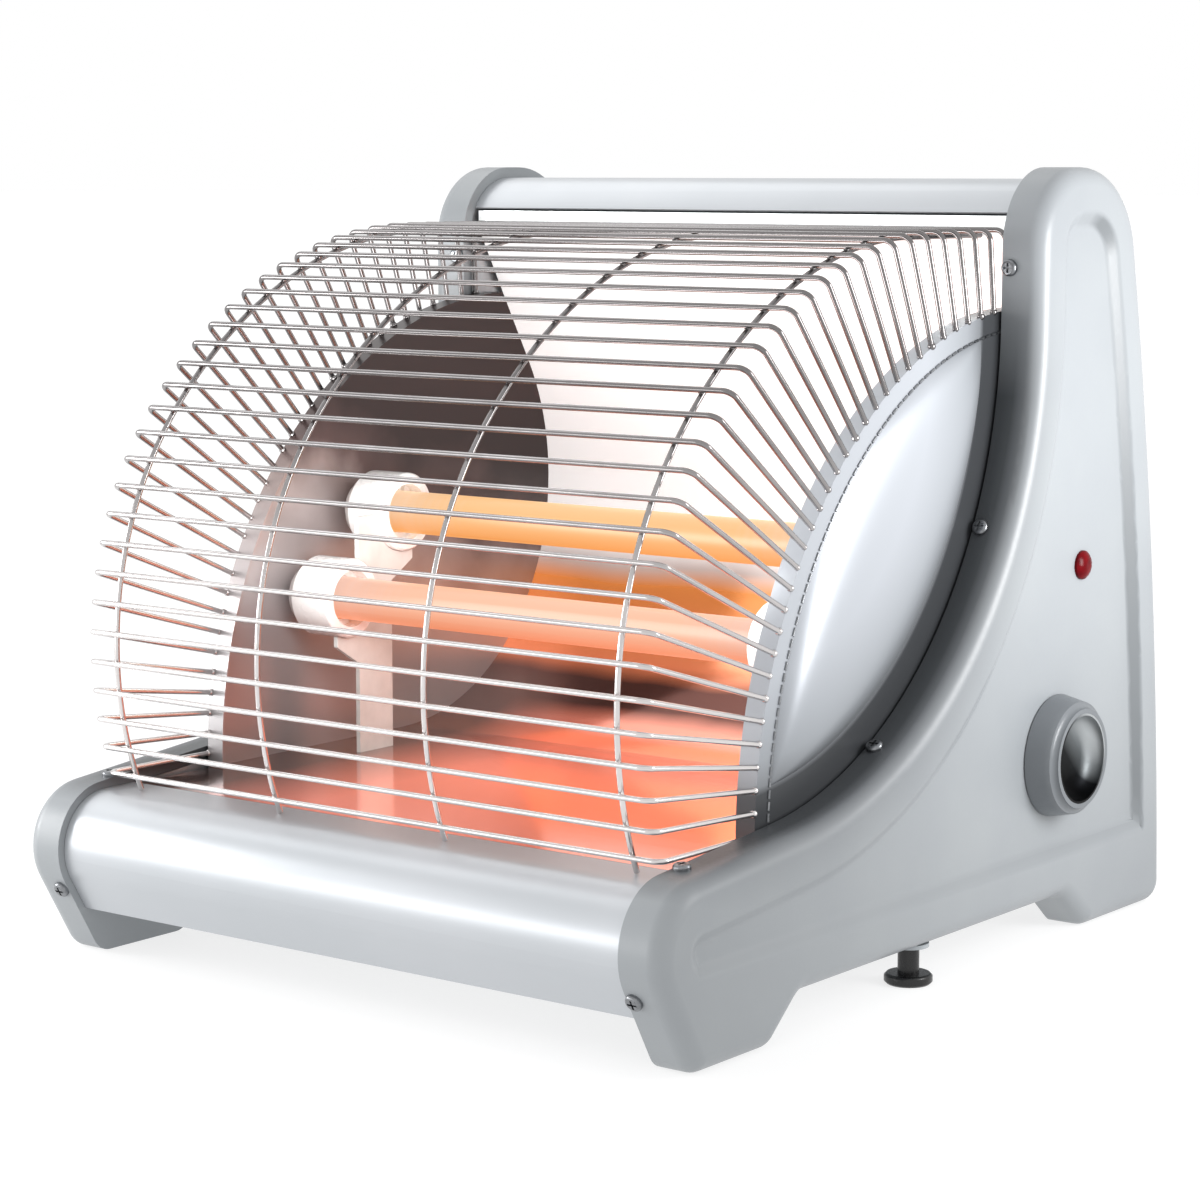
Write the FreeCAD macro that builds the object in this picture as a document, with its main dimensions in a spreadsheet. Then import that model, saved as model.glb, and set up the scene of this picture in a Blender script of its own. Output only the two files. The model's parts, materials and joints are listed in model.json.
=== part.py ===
import FreeCAD, Part
import math
import os
import Sketcher
from FreeCAD import Placement, Rotation, Vector
from types import SimpleNamespace

# Two-rod radiant heater. X is across the heater with the controls at +X, Y runs to the back, Z is up.
# Everything is drawn from the middle of the heater and the front corner of its feet, then shifted so
# that the origin is under the middle of the whole heater, knob included.

SIZES = {
    # Side panels
    "inner_width": 264.0,
    "panel_thickness": 18.0,
    "panel_height": 297.8,
    "panel_wall": 5.0,
    "panel_face": 2.3,
    "stance": 327.0,
    "nose_radius": 24.0,
    "nose_height": 66.0,
    "nose_setback": 3.5,
    "front_foot": 44.0,
    "rear_foot": 62.5,
    "foot_slope": 18.5,
    "base_clearance": 15.5,
    "sweep_start": 50.5,
    "sweep_rise": 5.2,
    "sweep_radius": 168.8,
    "brow_radius": 30.0,
    "crown_flat": 8.0,
    "arch_radius": 38.0,
    "bow_radius": 1500.0,
    "corner_radius": 9.0,
    "edge_radius": 7.0,
    "recess_margin": 17.0,
    "recess_depth": 3.2,
    "recess_angle": 58.0,
    "recess_radius": 6.0,
    # Sheet metal between the side panels
    "sheet": 1.0,
    "end_gap": 0.2,
    "seat_gap": 0.3,
    "front_inset": 3.0,
    "front_top": 16.0,
    "front_hem": 6.0,
    "front_bottom": 18.5,
    "pan_flange": 12.0,
    "cover_inset": 4.4,
    "cover_rise": 13.0,
    "cover_plate": 1.2,
    "vent_length": 58.0,
    "vent_height": 4.0,
    "vent_spacing": 76.0,
    "vent_pitch": 13.0,
    "vent_rows": 9,
    "vent_start": 105.0,
    # Reflector and its end discs
    "mirror_sheet": 0.6,
    "mirror_radius": 100.0,
    "mirror_back": 275.0,
    "mirror_floor": 63.0,
    "mirror_lip": 7.5,
    "mirror_turn": 30.2,
    "disc_gap": 1.0,
    "disc_radius": 177.4,
    "disc_front": 59.2,
    "disc_drop": 27.6,
    "disc_margin": 1.5,
    "disc_corner": 18.0,
    "disc_flange": 8.0,
    "dome_rim": 8.0,
    "dome_margin": 13.0,
    "dome_height": 5.0,
    "dome_angle": 60.0,
    "dome_radius": 8.0,
    # Wire guard
    "guard_lower": 138.8,
    "guard_upper": 195.4,
    "guard_turn": 43.3,
    "guard_crown": 176.0,
    "guard_rise": 2.3,
    "guard_half": 130.5,
    "guard_wire": 2.1,
    "guard_pitch": 11.3,
    "guard_start": 6.1,
    "guard_bend": 4.0,
    "hoop_outer": 117.5,
    "hoop_inner": 39.5,
    "hoop_shift": -6.0,
    "weld_gap": 0.05,
    # Rods, holders and brackets
    "upper_rod_y": 146.0,
    "upper_rod_z": 158.8,
    "lower_rod_y": 112.0,
    "lower_rod_z": 127.0,
    "rod_diameter": 17.0,
    "rod_wall": 2.0,
    "core_diameter": 8.0,
    "holder_mouth": 101.0,
    "holder_length": 24.0,
    "holder_diameter": 32.0,
    "holder_end": 23.0,
    "holder_socket": 23.0,
    "holder_lip": 6.0,
    "holder_depth": 17.0,
    "holder_bevel": 6.0,
    "holder_edge": 1.0,
    "rod_fit": 0.3,
    "core_fit": 0.2,
    "bracket_plate": 2.0,
    "bracket_back": 3.0,
    "bracket_offset": 7.0,
    "bracket_lug": 6.0,
    "bracket_hook": 3.5,
    "bracket_web": 8.0,
    "terminal_diameter": 4.0,
    "terminal_length": 6.0,
    # Selector knob and rotary switch
    "knob_y": 240.0,
    "knob_z": 72.5,
    "knob_diameter": 47.6,
    "knob_top": 43.6,
    "knob_height": 12.0,
    "knob_gap": 0.5,
    "knob_edge": 2.5,
    "dish_diameter": 35.0,
    "dish_depth": 7.5,
    "dish_sheet": 0.8,
    "spindle_diameter": 6.0,
    "spindle_fit": 0.05,
    "spindle_seat": 2.0,
    "switch_width": 23.0,
    "switch_depth": 10.0,
    "bush_diameter": 9.0,
    "nut_width": 13.0,
    "nut_height": 2.0,
    # Pilot lamp
    "lamp_y": 258.5,
    "lamp_z": 144.8,
    "lamp_diameter": 11.3,
    "lamp_stem": 8.4,
    "lamp_rise": 3.2,
    "lamp_collar": 1.0,
    "lamp_crown": 1.0,
    "lamp_holder": 11.5,
    "lamp_holder_depth": 9.0,
    # Tip-over switch
    "plunger_y": 148.0,
    "plunger_foot": 18.0,
    "plunger_foot_height": 4.0,
    "plunger_stem": 8.0,
    "plunger_pin": 4.0,
    "plunger_travel": 8.0,
    "plunger_collar": 10.4,
    "plunger_collar_height": 2.0,
    "guide_outer": 10.6,
    "guide_flange": 15.0,
    "guide_flange_height": 1.5,
    "guide_length": 8.0,
    "guide_fit": 0.1,
    "spring_wire": 0.9,
    "spring_mean": 7.0,
    "spring_turns": 5,
    "spring_room": 13.0,
    "tip_switch_width": 20.0,
    "tip_switch_height": 15.0,
    # Electrical pieces behind the reflector
    "cutout_diameter": 16.0,
    "cutout_depth": 9.0,
    "cutout_x": 45.0,
    "block_length": 44.0,
    "block_width": 18.0,
    "block_height": 15.0,
    "block_x": 62.0,
    "block_setback": 34.0,
    "gland_x": 92.0,
    "gland_z": 42.0,
    "gland_bore": 7.4,
    "gland_neck": 12.0,
    "gland_flange": 17.0,
    "gland_flange_depth": 4.0,
    "gland_tail": 9.0,
    "gland_slack": 1.8,
    "lead_diameter": 2.6,
    "lead_bend": 7.0,
    # Screws
    "screw_head": 6.4,
    "screw_head_height": 2.0,
    "screw_shank": 3.0,
    "screw_length": 9.0,
    "screw_fit": 0.1,
    "screw_inset": 3.4,
    "screw_margin": 9.0,
}

doc = FreeCAD.newDocument("radiant_heater")
sheet = doc.addObject("Spreadsheet::Sheet", "Sizes")
for row, (alias, number) in enumerate(SIZES.items(), start=1):
    sheet.set(f"A{row}", alias)
    sheet.set(f"B{row}", str(number))
    sheet.setAlias(f"B{row}", alias)
doc.recompute()


# A size is a number together with the formula that gives it in the sheet, so that one line of
# arithmetic serves both the first drawing of a shape and the formula that it stays bound to.
class Size:
    def __init__(self, value, text):
        self.value = value
        self.text = text

    def __add__(self, other):
        return Size(self.value + value_of(other), f"({self.text} + {text_of(other)})")

    def __sub__(self, other):
        return Size(self.value - value_of(other), f"({self.text} - {text_of(other)})")

    def __mul__(self, other):
        return Size(self.value * value_of(other), f"({self.text} * {text_of(other)})")

    def __truediv__(self, other):
        return Size(self.value / value_of(other), f"({self.text} / {text_of(other)})")

    def __neg__(self):
        return self * -1.0

    def __radd__(self, other):
        return self + other

    def __rsub__(self, other):
        return -self + other

    def __rmul__(self, other):
        return self * other


def value_of(item):
    return item.value if isinstance(item, Size) else float(item)


def text_of(item):
    return item.text if isinstance(item, Size) else f"({float(item)!r})"


def root(item):
    return Size(math.sqrt(item.value), f"sqrt({item.text})")


def at_least_none(item):
    return Size(max(item.value, 0.0), f"max({item.text}; 0)")


def sine(item):
    return Size(math.sin(math.radians(item.value)), f"sin({item.text})")


def cosine(item):
    return Size(math.cos(math.radians(item.value)), f"cos({item.text})")


# A worked-out size gets its own cell, so that formulas that use it stay short.
def kept(alias, size):
    row = len(SIZES) + len(WORKED_OUT) + 1
    WORKED_OUT.append(alias)
    sheet.set(f"A{row}", alias)
    sheet.set(f"B{row}", "=" + size.text.replace("Sizes.", ""))
    sheet.setAlias(f"B{row}", alias)
    return Size(size.value, f"Sizes.{alias}")


S = SimpleNamespace(**{alias: Size(number, f"Sizes.{alias}") for alias, number in SIZES.items()})
WORKED_OUT = []
SUBPARTS = []


# Binding, drawing and feature helpers
def bind(item, prop, size):
    item.setExpression(prop, text_of(size))


def vector(x, y, z):
    return Vector(value_of(x), value_of(y), value_of(z))


def body(name):
    return doc.addObject("PartDesign::Body", name)


def sketch_on(owner, plane, offset=0.0):
    sketch = owner.newObject("Sketcher::SketchObject", f"{owner.Name}_sketch")
    base = next(item for item in owner.Origin.OriginFeatures if item.Role == plane)
    sketch.AttachmentSupport = [(base, "")]
    sketch.MapMode = "FlatFace"
    bind(sketch, "AttachmentOffset.Base.z", offset)
    return sketch


# The circle of a signed radius through two corners: positive turns to the left, and no arc here
# is more than a half circle.
def arc_between(start, end, radius):
    chord = end - start
    half = chord.Length / 2
    rise = math.sqrt(max(radius * radius - half * half, 0.0))
    left = Vector(-chord.y, chord.x, 0).normalize()
    centre = start + chord * 0.5 + left * math.copysign(rise, radius)
    first, last = (start, end) if radius > 0 else (end, start)
    circle = Part.Circle(centre, Vector(0, 0, 1), abs(radius))
    angles = [math.atan2(point.y - centre.y, point.x - centre.x) for point in (first, last)]
    return Part.ArcOfCircle(circle, angles[0], angles[1])


def pin_down(sketch, geometry, end, axis, size):
    if not isinstance(size, Size) and size == 0:
        sketch.addConstraint(Sketcher.Constraint("PointOnObject", geometry, end, -2 if axis == "X" else -1))
        return
    index = sketch.addConstraint(Sketcher.Constraint(f"Distance{axis}", -1, 1, geometry, end, value_of(size)))
    sketch.renameConstraint(index, f"{axis.lower()}_{geometry}")
    bind(sketch, f"Constraints.{axis.lower()}_{geometry}", size)


# A closed outline. Each corner is (x, y), or (x, y, radius) where an arc leads to the next corner.
def draw(sketch, corners):
    first = sketch.GeometryCount
    points = [vector(corner[0], corner[1], 0) for corner in corners]
    starts, ends = [], []
    for number, corner in enumerate(corners):
        start, end = points[number], points[(number + 1) % len(points)]
        if len(corner) == 2:
            sketch.addGeometry(Part.LineSegment(start, end), False)
            forward = True
        else:
            sketch.addGeometry(arc_between(start, end, value_of(corner[2])), False)
            forward = value_of(corner[2]) > 0
        starts.append(1 if forward else 2)
        ends.append(2 if forward else 1)
    for number, corner in enumerate(corners):
        follower = (number + 1) % len(corners)
        join = Sketcher.Constraint("Coincident", first + number, ends[number], first + follower, starts[follower])
        sketch.addConstraint(join)
        pin_down(sketch, first + number, starts[number], "X", corner[0])
        pin_down(sketch, first + number, starts[number], "Y", corner[1])
        if len(corner) == 3:
            radius = corner[2] if value_of(corner[2]) > 0 else -corner[2]
            index = sketch.addConstraint(Sketcher.Constraint("Radius", first + number, value_of(radius)))
            sketch.renameConstraint(index, f"radius_{first + number}")
            bind(sketch, f"Constraints.radius_{first + number}", radius)


def draw_circle(sketch, x, y, diameter):
    circle = Part.Circle(vector(x, y, 0), Vector(0, 0, 1), value_of(diameter) / 2)
    index = sketch.addGeometry(circle, False)
    pin_down(sketch, index, 3, "X", x)
    pin_down(sketch, index, 3, "Y", y)
    row = sketch.addConstraint(Sketcher.Constraint("Diameter", index, value_of(diameter)))
    sketch.renameConstraint(row, f"diameter_{index}")
    bind(sketch, f"Constraints.diameter_{index}", diameter)


def rectangle(left, right, low, high):
    return [(left, low), (right, low), (right, high), (left, high)]


def pad(owner, sketch, length, backwards=False, middle=False, slope=None):
    feature = owner.newObject("PartDesign::Pad", f"{owner.Name}_pad")
    feature.Profile = sketch
    bind(feature, "Length", length)
    feature.Midplane = middle
    feature.Reversed = backwards
    if slope is not None:
        bind(feature, "TaperAngle", slope)
    doc.recompute()
    return feature


# A pocket has to take material away, so one that points the wrong way stops the build.
def pocket(owner, sketch, length=None, backwards=False, slope=None):
    before = owner.Shape.Volume
    feature = owner.newObject("PartDesign::Pocket", f"{owner.Name}_pocket")
    feature.Profile = sketch
    feature.Reversed = backwards
    if length is None:
        feature.Type = "ThroughAll"
        feature.Midplane = True
    else:
        bind(feature, "Length", length)
    if slope is not None:
        bind(feature, "TaperAngle", slope)
    doc.recompute()
    if not feature.Shape.Volume < before:
        raise RuntimeError(f"{feature.Name} cut nothing")
    return feature


def revolve(owner, sketch):
    feature = owner.newObject("PartDesign::Revolution", f"{owner.Name}_revolution")
    feature.Profile = sketch
    feature.ReferenceAxis = (sketch, ["H_Axis"])
    feature.Angle = 360
    doc.recompute()
    return feature


def fillet(owner, feature, radius, chosen):
    doc.recompute()
    names = [f"Edge{n}" for n, edge in enumerate(feature.Shape.Edges, start=1) if chosen(edge)]
    item = owner.newObject("PartDesign::Fillet", f"{owner.Name}_fillet")
    item.Base = (feature, names)
    bind(item, "Radius", radius)
    doc.recompute()
    return item


def flat_at(x):
    return lambda edge: all(abs(vertex.X - value_of(x)) < 1e-4 for vertex in edge.Vertexes)


def along_x_at(places):
    def chosen(edge):
        box = edge.BoundBox
        return box.YLength < 1e-4 and box.ZLength < 1e-4 and any(
            abs(box.YMin - value_of(y)) < 1e-3 and abs(box.ZMin - value_of(z)) < 1e-3 for y, z in places)
    return chosen


# Every sub-part gets its name and its place in the heater's frame.
SHIFT_X = kept("shift_x", -(S.knob_gap + S.knob_height - S.recess_depth) / 2)
SHIFT_Y = (S.nose_radius - S.nose_setback - S.stance) / 2


def finish(item, label, x=0.0, y=0.0, z=0.0):
    item.Label = label
    bind(item, "Placement.Base.x", SHIFT_X + x)
    bind(item, "Placement.Base.y", SHIFT_Y + y)
    bind(item, "Placement.Base.z", z)
    SUBPARTS.append(item)
    return item


def finish_solid(label, shape):
    item = doc.addObject("Part::Feature", label)
    item.Shape = shape
    return finish(item, label)


# A sheet or block that runs between the side panels
def span(label, corners, length):
    owner = body(label)
    sketch = sketch_on(owner, "YZ_Plane")
    draw(sketch, corners)
    pad(owner, sketch, length, middle=True)
    return owner


# A turned piece about an axis along X: corners are (x, radius)
def turned(label, corners, y, z):
    owner = body(label)
    sketch = sketch_on(owner, "XY_Plane")
    draw(sketch, corners)
    revolve(owner, sketch)
    return finish(owner, label, 0.0, y, z)


# Places that several pieces share
INNER = kept("inner", S.inner_width / 2)
OUTER = kept("outer", INNER + S.panel_thickness)
HOLLOW = kept("hollow", S.panel_thickness - S.recess_depth - S.panel_face)
CAVITY = kept("cavity", INNER + HOLLOW)
FIELD = kept("field", OUTER - S.recess_depth)
SPAN = kept("span", S.inner_width - 2 * S.end_gap)

# A straight upright joins the sweep to the brow, or on a low panel the two arcs meet.
SWEEP_Z = kept("sweep_z", S.nose_height + S.sweep_rise + S.sweep_radius)
BROW_Z = kept("brow_z", S.panel_height - S.brow_radius)
JOIN = kept("join", S.sweep_radius + S.brow_radius)
JOIN_DROP = kept("join_drop", at_least_none(SWEEP_Z - BROW_Z) / JOIN)
JOIN_RUN = kept("join_run", root(1.0 - JOIN_DROP * JOIN_DROP))
BROW_Y = kept("brow_y", S.sweep_start + JOIN_RUN * JOIN)
ARCH_Y = kept("arch_y", BROW_Y + S.crown_flat)
ARCH_Z = kept("arch_z", S.panel_height - S.arch_radius)
NOSE_Z = kept("nose_z", S.nose_height - S.nose_radius)

# The bowed rear edge is tangent to the arch and ends at the rear foot.
REACH = kept("reach", S.bow_radius - S.arch_radius)
FALL_Y = kept("fall_y", S.stance - ARCH_Y)
FALL = kept("fall", root(FALL_Y * FALL_Y + ARCH_Z * ARCH_Z))
ALONG = kept("along", (REACH * REACH - S.bow_radius * S.bow_radius + FALL * FALL) / (FALL * 2))
ASIDE = kept("aside", root(REACH * REACH - ALONG * ALONG))
BOW_Y = kept("bow_y", ARCH_Y + (ALONG * FALL_Y - ASIDE * ARCH_Z) / FALL)
BOW_Z = kept("bow_z", ARCH_Z - (ALONG * ARCH_Z + ASIDE * FALL_Y) / FALL)
BOW_OUT_Y = kept("bow_out_y", (ARCH_Y - BOW_Y) / REACH)
BOW_OUT_Z = kept("bow_out_z", (ARCH_Z - BOW_Z) / REACH)

# The nose runs into the front of the foot along a straight tangent.
NOSE_FAR = kept("nose_far", S.nose_setback * S.nose_setback + NOSE_Z * NOSE_Z)
TANGENT = kept("tangent", root(NOSE_FAR - S.nose_radius * S.nose_radius))
NOSE_OUT_Y = kept("nose_out_y", -(S.nose_radius * S.nose_setback + TANGENT * NOSE_Z) / NOSE_FAR)
NOSE_OUT_Z = kept("nose_out_z", -(S.nose_radius * NOSE_Z - TANGENT * S.nose_setback) / NOSE_FAR)

# A straight line, tangent to both, leads from the top of the nose up into the sweep.
RISE_RUN = kept("rise_run", S.sweep_start - S.nose_setback)
RISE_HIGH = kept("rise_high", SWEEP_Z - NOSE_Z)
RISE_SUM = kept("rise_sum", S.nose_radius + S.sweep_radius)
RISE_FAR = kept("rise_far", RISE_RUN * RISE_RUN + RISE_HIGH * RISE_HIGH)
RISE_LINE = kept("rise_line", root(RISE_FAR - RISE_SUM * RISE_SUM))
RISE_Y = kept("rise_y", (RISE_SUM * RISE_RUN - RISE_LINE * RISE_HIGH) / RISE_FAR)
RISE_Z = kept("rise_z", (RISE_SUM * RISE_HIGH + RISE_LINE * RISE_RUN) / RISE_FAR)


def rear_at(inset, z):
    reach = S.bow_radius - inset
    return BOW_Y + root(reach * reach - (z - BOW_Z) * (z - BOW_Z))


def nose_tangent(inset):
    radius = S.nose_radius - inset
    return S.nose_setback + NOSE_OUT_Y * radius, NOSE_Z + NOSE_OUT_Z * radius


def front_at(inset, z):
    y, height = nose_tangent(inset)
    return y - (height - z) * NOSE_OUT_Z / NOSE_OUT_Y * -1.0


# Outline of a side panel, from the rear foot round to the front one, set in by an inset
def panel_edge(inset):
    arch, brow = S.arch_radius - inset, S.brow_radius - inset
    nose, sweep = S.nose_radius - inset, S.sweep_radius + inset
    upright = [(BROW_Y - brow, BROW_Z)] if SWEEP_Z.value < BROW_Z.value else []
    return [
        (ARCH_Y + BOW_OUT_Y * arch, ARCH_Z + BOW_OUT_Z * arch, arch),
        (ARCH_Y, ARCH_Z + arch),
        (BROW_Y, BROW_Z + brow, brow),
        *upright,
        (S.sweep_start + JOIN_RUN * sweep, SWEEP_Z - JOIN_DROP * sweep, -sweep),
        (S.sweep_start - RISE_Y * sweep, SWEEP_Z - RISE_Z * sweep),
        (S.nose_setback + RISE_Y * nose, NOSE_Z + RISE_Z * nose, nose),
        nose_tangent(inset),
    ]


def field_outline(inset, floor):
    bottom = [(front_at(inset, floor), floor), (rear_at(inset, floor), floor, S.bow_radius - inset)]
    return bottom + panel_edge(inset)


FOOT_CORNERS = [
    (0, 0),
    (S.front_foot, 0),
    (S.front_foot + S.foot_slope, S.base_clearance),
    (S.stance - S.rear_foot - S.foot_slope, S.base_clearance),
    (S.stance - S.rear_foot, 0),
    (S.stance, 0, S.bow_radius),
]

# Screws on the edge of each side panel: (y, z) of the seat and the way the head points
LOW_SCREW = kept("low_screw", S.nose_height * 0.41)
SWEEP_FALL = kept("sweep_fall", S.sweep_radius * 0.4526)
SWEEP_RUN = kept("sweep_run", S.sweep_radius * 0.463)
TOP_SCREW = kept("top_screw", S.nose_radius * 0.38)


def edge_screw_seats():
    seat_square = S.sweep_radius * S.sweep_radius - S.screw_head * S.screw_head / 4
    upper_run = root(seat_square - SWEEP_FALL * SWEEP_FALL)
    lower_fall = root(seat_square - SWEEP_RUN * SWEEP_RUN)
    return [
        (BROW_Y - S.brow_radius, BROW_Z - S.brow_radius / 4, -1.0, 0.0),
        (S.sweep_start + upper_run, SWEEP_Z - SWEEP_FALL, -upper_run.value, SWEEP_FALL.value),
        (S.sweep_start + SWEEP_RUN, SWEEP_Z - lower_fall, -SWEEP_RUN.value, lower_fall.value),
        (S.nose_setback + RISE_Y * S.nose_radius + RISE_Z * TOP_SCREW,
         NOSE_Z + RISE_Z * S.nose_radius - RISE_Y * TOP_SCREW, RISE_Y.value, RISE_Z.value),
        (front_at(0, LOW_SCREW), LOW_SCREW, NOSE_OUT_Y.value, NOSE_OUT_Z.value),
    ]


def screw_shape():
    radius = S.screw_head.value / 2
    height = S.screw_head_height.value
    head = Part.makeCylinder(radius, height)
    crown = [edge for edge in head.Edges if abs(edge.BoundBox.ZMin - height) < 1e-6]
    head = head.makeFillet(height * 0.6, crown)
    for long_way in (True, False):
        size = (radius * 1.2, radius * 0.25) if long_way else (radius * 0.25, radius * 1.2)
        slot = Part.makeBox(size[0], size[1], height, Vector(-size[0] / 2, -size[1] / 2, height * 0.5))
        head = head.cut(slot)
    shank = Part.makeCylinder(S.screw_shank.value / 2, S.screw_length.value, Vector(), Vector(0, 0, -1))
    return head.fuse(shank).removeSplitter()


SCREW = screw_shape()


def turned_to(shape, place, way):
    copy = shape.copy()
    copy.Placement = Placement(place, Rotation(Vector(0, 0, 1), way))
    return copy


def screw_group(label, seats):
    return finish_solid(label, Part.makeCompound([turned_to(SCREW, place, way) for place, way in seats]))


def screw_holes(name, seats):
    radius = S.screw_shank.value / 2 + S.screw_fit.value
    length = S.screw_length.value
    hole = Part.makeCylinder(radius, length + 1, Vector(0, 0, 0.5), Vector(0, 0, -1))
    item = doc.addObject("Part::Feature", name)
    item.Shape = Part.makeCompound([turned_to(hole, place, way) for place, way in seats])
    return item


def drilled(owner, name, seats):
    item = doc.addObject("Part::Cut", name)
    item.Base = owner
    item.Tool = screw_holes(f"{name}_holes", seats)
    return item


# Side panels
def side_panel(side):
    label = "right_side_panel" if side > 0 else "left_side_panel"
    owner = body(f"{label}_body")
    sketch = sketch_on(owner, "YZ_Plane", INNER * side)
    draw(sketch, FOOT_CORNERS + panel_edge(0))
    block = pad(owner, sketch, S.panel_thickness, backwards=side < 0)
    corners = [corner[:2] for corner in FOOT_CORNERS]
    rounded = fillet(owner, block, S.corner_radius, along_x_at(corners))
    soft = fillet(owner, rounded, S.edge_radius, flat_at(OUTER * side))

    field = sketch_on(owner, "YZ_Plane", OUTER * side)
    draw(field, field_outline(S.recess_margin, S.base_clearance + S.recess_margin))
    before = soft.Shape
    recess = pocket(owner, field, S.recess_depth, backwards=side < 0, slope=-S.recess_angle)
    old_edges = {edge_key(edge) for edge in before.Edges}

    def mouth_or_floor(edge):
        level = min(abs(vertex.X) for vertex in edge.Vertexes)
        steady = all(abs(abs(vertex.X) - level) < 1e-4 for vertex in edge.Vertexes)
        return steady and level > FIELD.value - 1e-3 and edge_key(edge) not in old_edges

    fillet(owner, recess, S.recess_radius, mouth_or_floor)
    inside = sketch_on(owner, "YZ_Plane", INNER * side)
    draw(inside, field_outline(S.panel_wall, S.base_clearance + S.panel_wall))
    pocket(owner, inside, HOLLOW, backwards=side > 0)
    if side > 0:
        openings = sketch_on(owner, "YZ_Plane", INNER)
        draw_circle(openings, S.knob_y, S.knob_z, S.bush_diameter + 2 * S.screw_fit)
        draw_circle(openings, S.lamp_y, S.lamp_z, S.lamp_stem + 2 * S.screw_fit)
        pocket(owner, openings, S.panel_thickness, backwards=True)
        way_down = sketch_on(owner, "XY_Plane")
        draw_circle(way_down, PLUNGER_X, S.plunger_y, S.guide_outer + 2 * S.screw_fit)
        pocket(owner, way_down, S.base_clearance + S.panel_wall + S.screw_fit, backwards=True)
    seats = edge_seats(side)
    finish(drilled(owner, f"{label}_cut", seats), label)
    screw_group(label.replace("panel", "screws"), seats)


def edge_key(edge):
    centre = edge.CenterOfMass
    return round(centre.x, 3), round(centre.y, 3), round(centre.z, 3)


def edge_seats(side):
    x = (INNER + S.screw_inset) * side
    return [(vector(x, y, z), Vector(0, way_y, way_z)) for y, z, way_y, way_z in edge_screw_seats()]


PLUNGER_X = kept("plunger_x", (INNER + S.cover_plate + CAVITY) / 2)
for hand in (1, -1):
    side_panel(hand)


# Flat covers that close the hollow side panels from inside
def inner_cover(side):
    label = "right_inner_cover" if side > 0 else "left_inner_cover"
    owner = body(label)
    inset = S.panel_wall + S.seat_gap
    sketch = sketch_on(owner, "YZ_Plane", INNER * side)
    draw(sketch, field_outline(inset, S.base_clearance + inset))
    pad(owner, sketch, S.cover_plate, backwards=side < 0)
    finish(owner, label)


for hand in (1, -1):
    inner_cover(hand)


# Front panel: top, rolled nose and sloping front, with a hem turned down behind the nose
def front_panel():
    outer = S.front_inset
    inner = S.front_inset + S.sheet
    top = S.nose_height - outer
    back = S.nose_setback + S.front_top
    corners = [
        (back, top - S.front_hem),
        (back, top),
        (S.nose_setback, top, S.nose_radius - outer),
        nose_tangent(outer),
        (front_at(outer, S.front_bottom), S.front_bottom),
        (front_at(inner, S.front_bottom), S.front_bottom),
        nose_tangent(inner) + (-(S.nose_radius - inner),),
        (S.nose_setback, top - S.sheet),
        (back - S.sheet, top - S.sheet),
        (back - S.sheet, top - S.front_hem),
    ]
    finish(span("front_panel", corners, SPAN), "front_panel")


front_panel()

# Top cover: a rolled sheet inside the arch, from its front edge over to the bowed back
COVER_BROW = kept("cover_brow", S.brow_radius - S.cover_inset)
COVER_FRONT_Y = kept("cover_front_y", BROW_Y - root(COVER_BROW * COVER_BROW - S.cover_rise * S.cover_rise))
COVER_FRONT_Z = kept("cover_front_z", BROW_Z + S.cover_rise)


def top_cover():
    brow_in = COVER_BROW - S.sheet
    scale = brow_in / COVER_BROW
    arch_out = S.arch_radius - S.cover_inset
    arch_in = arch_out - S.sheet
    corners = [
        (ARCH_Y + BOW_OUT_Y * arch_out, ARCH_Z + BOW_OUT_Z * arch_out, arch_out),
        (ARCH_Y, ARCH_Z + arch_out),
        (BROW_Y, BROW_Z + COVER_BROW, COVER_BROW),
        (COVER_FRONT_Y, COVER_FRONT_Z),
        (BROW_Y - (BROW_Y - COVER_FRONT_Y) * scale, BROW_Z + S.cover_rise * scale, -brow_in),
        (BROW_Y, BROW_Z + brow_in),
        (ARCH_Y, ARCH_Z + arch_in, -arch_in),
        (ARCH_Y + BOW_OUT_Y * arch_in, ARCH_Z + BOW_OUT_Z * arch_in),
    ]
    finish(span("top_cover", corners, SPAN), "top_cover")


top_cover()

# Base pan: a tray with its two ends turned up against the side panels
PAN_TOP = kept("pan_top", S.front_bottom + S.sheet)
PAN_FRONT = kept("pan_front", front_at(S.front_inset + S.sheet, S.front_bottom) + S.seat_gap)
BACK_INSET = kept("back_inset", S.cover_inset + S.sheet + S.seat_gap)
PAN_BACK = kept("pan_back", rear_at(BACK_INSET + S.sheet, PAN_TOP) - S.seat_gap)


def base_pan():
    owner = span("base_pan", rectangle(PAN_FRONT, PAN_BACK, S.front_bottom, PAN_TOP), SPAN)
    for side in (1, -1):
        sketch = sketch_on(owner, "XY_Plane", PAN_TOP)
        edges = sorted([SPAN / 2 * side, (SPAN / 2 - S.sheet) * side], key=value_of)
        draw(sketch, rectangle(edges[0], edges[1], PAN_FRONT + S.pan_flange, PAN_BACK - S.pan_flange))
        pad(owner, sketch, S.pan_flange)
    finish(owner, "base_pan")


base_pan()


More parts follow.
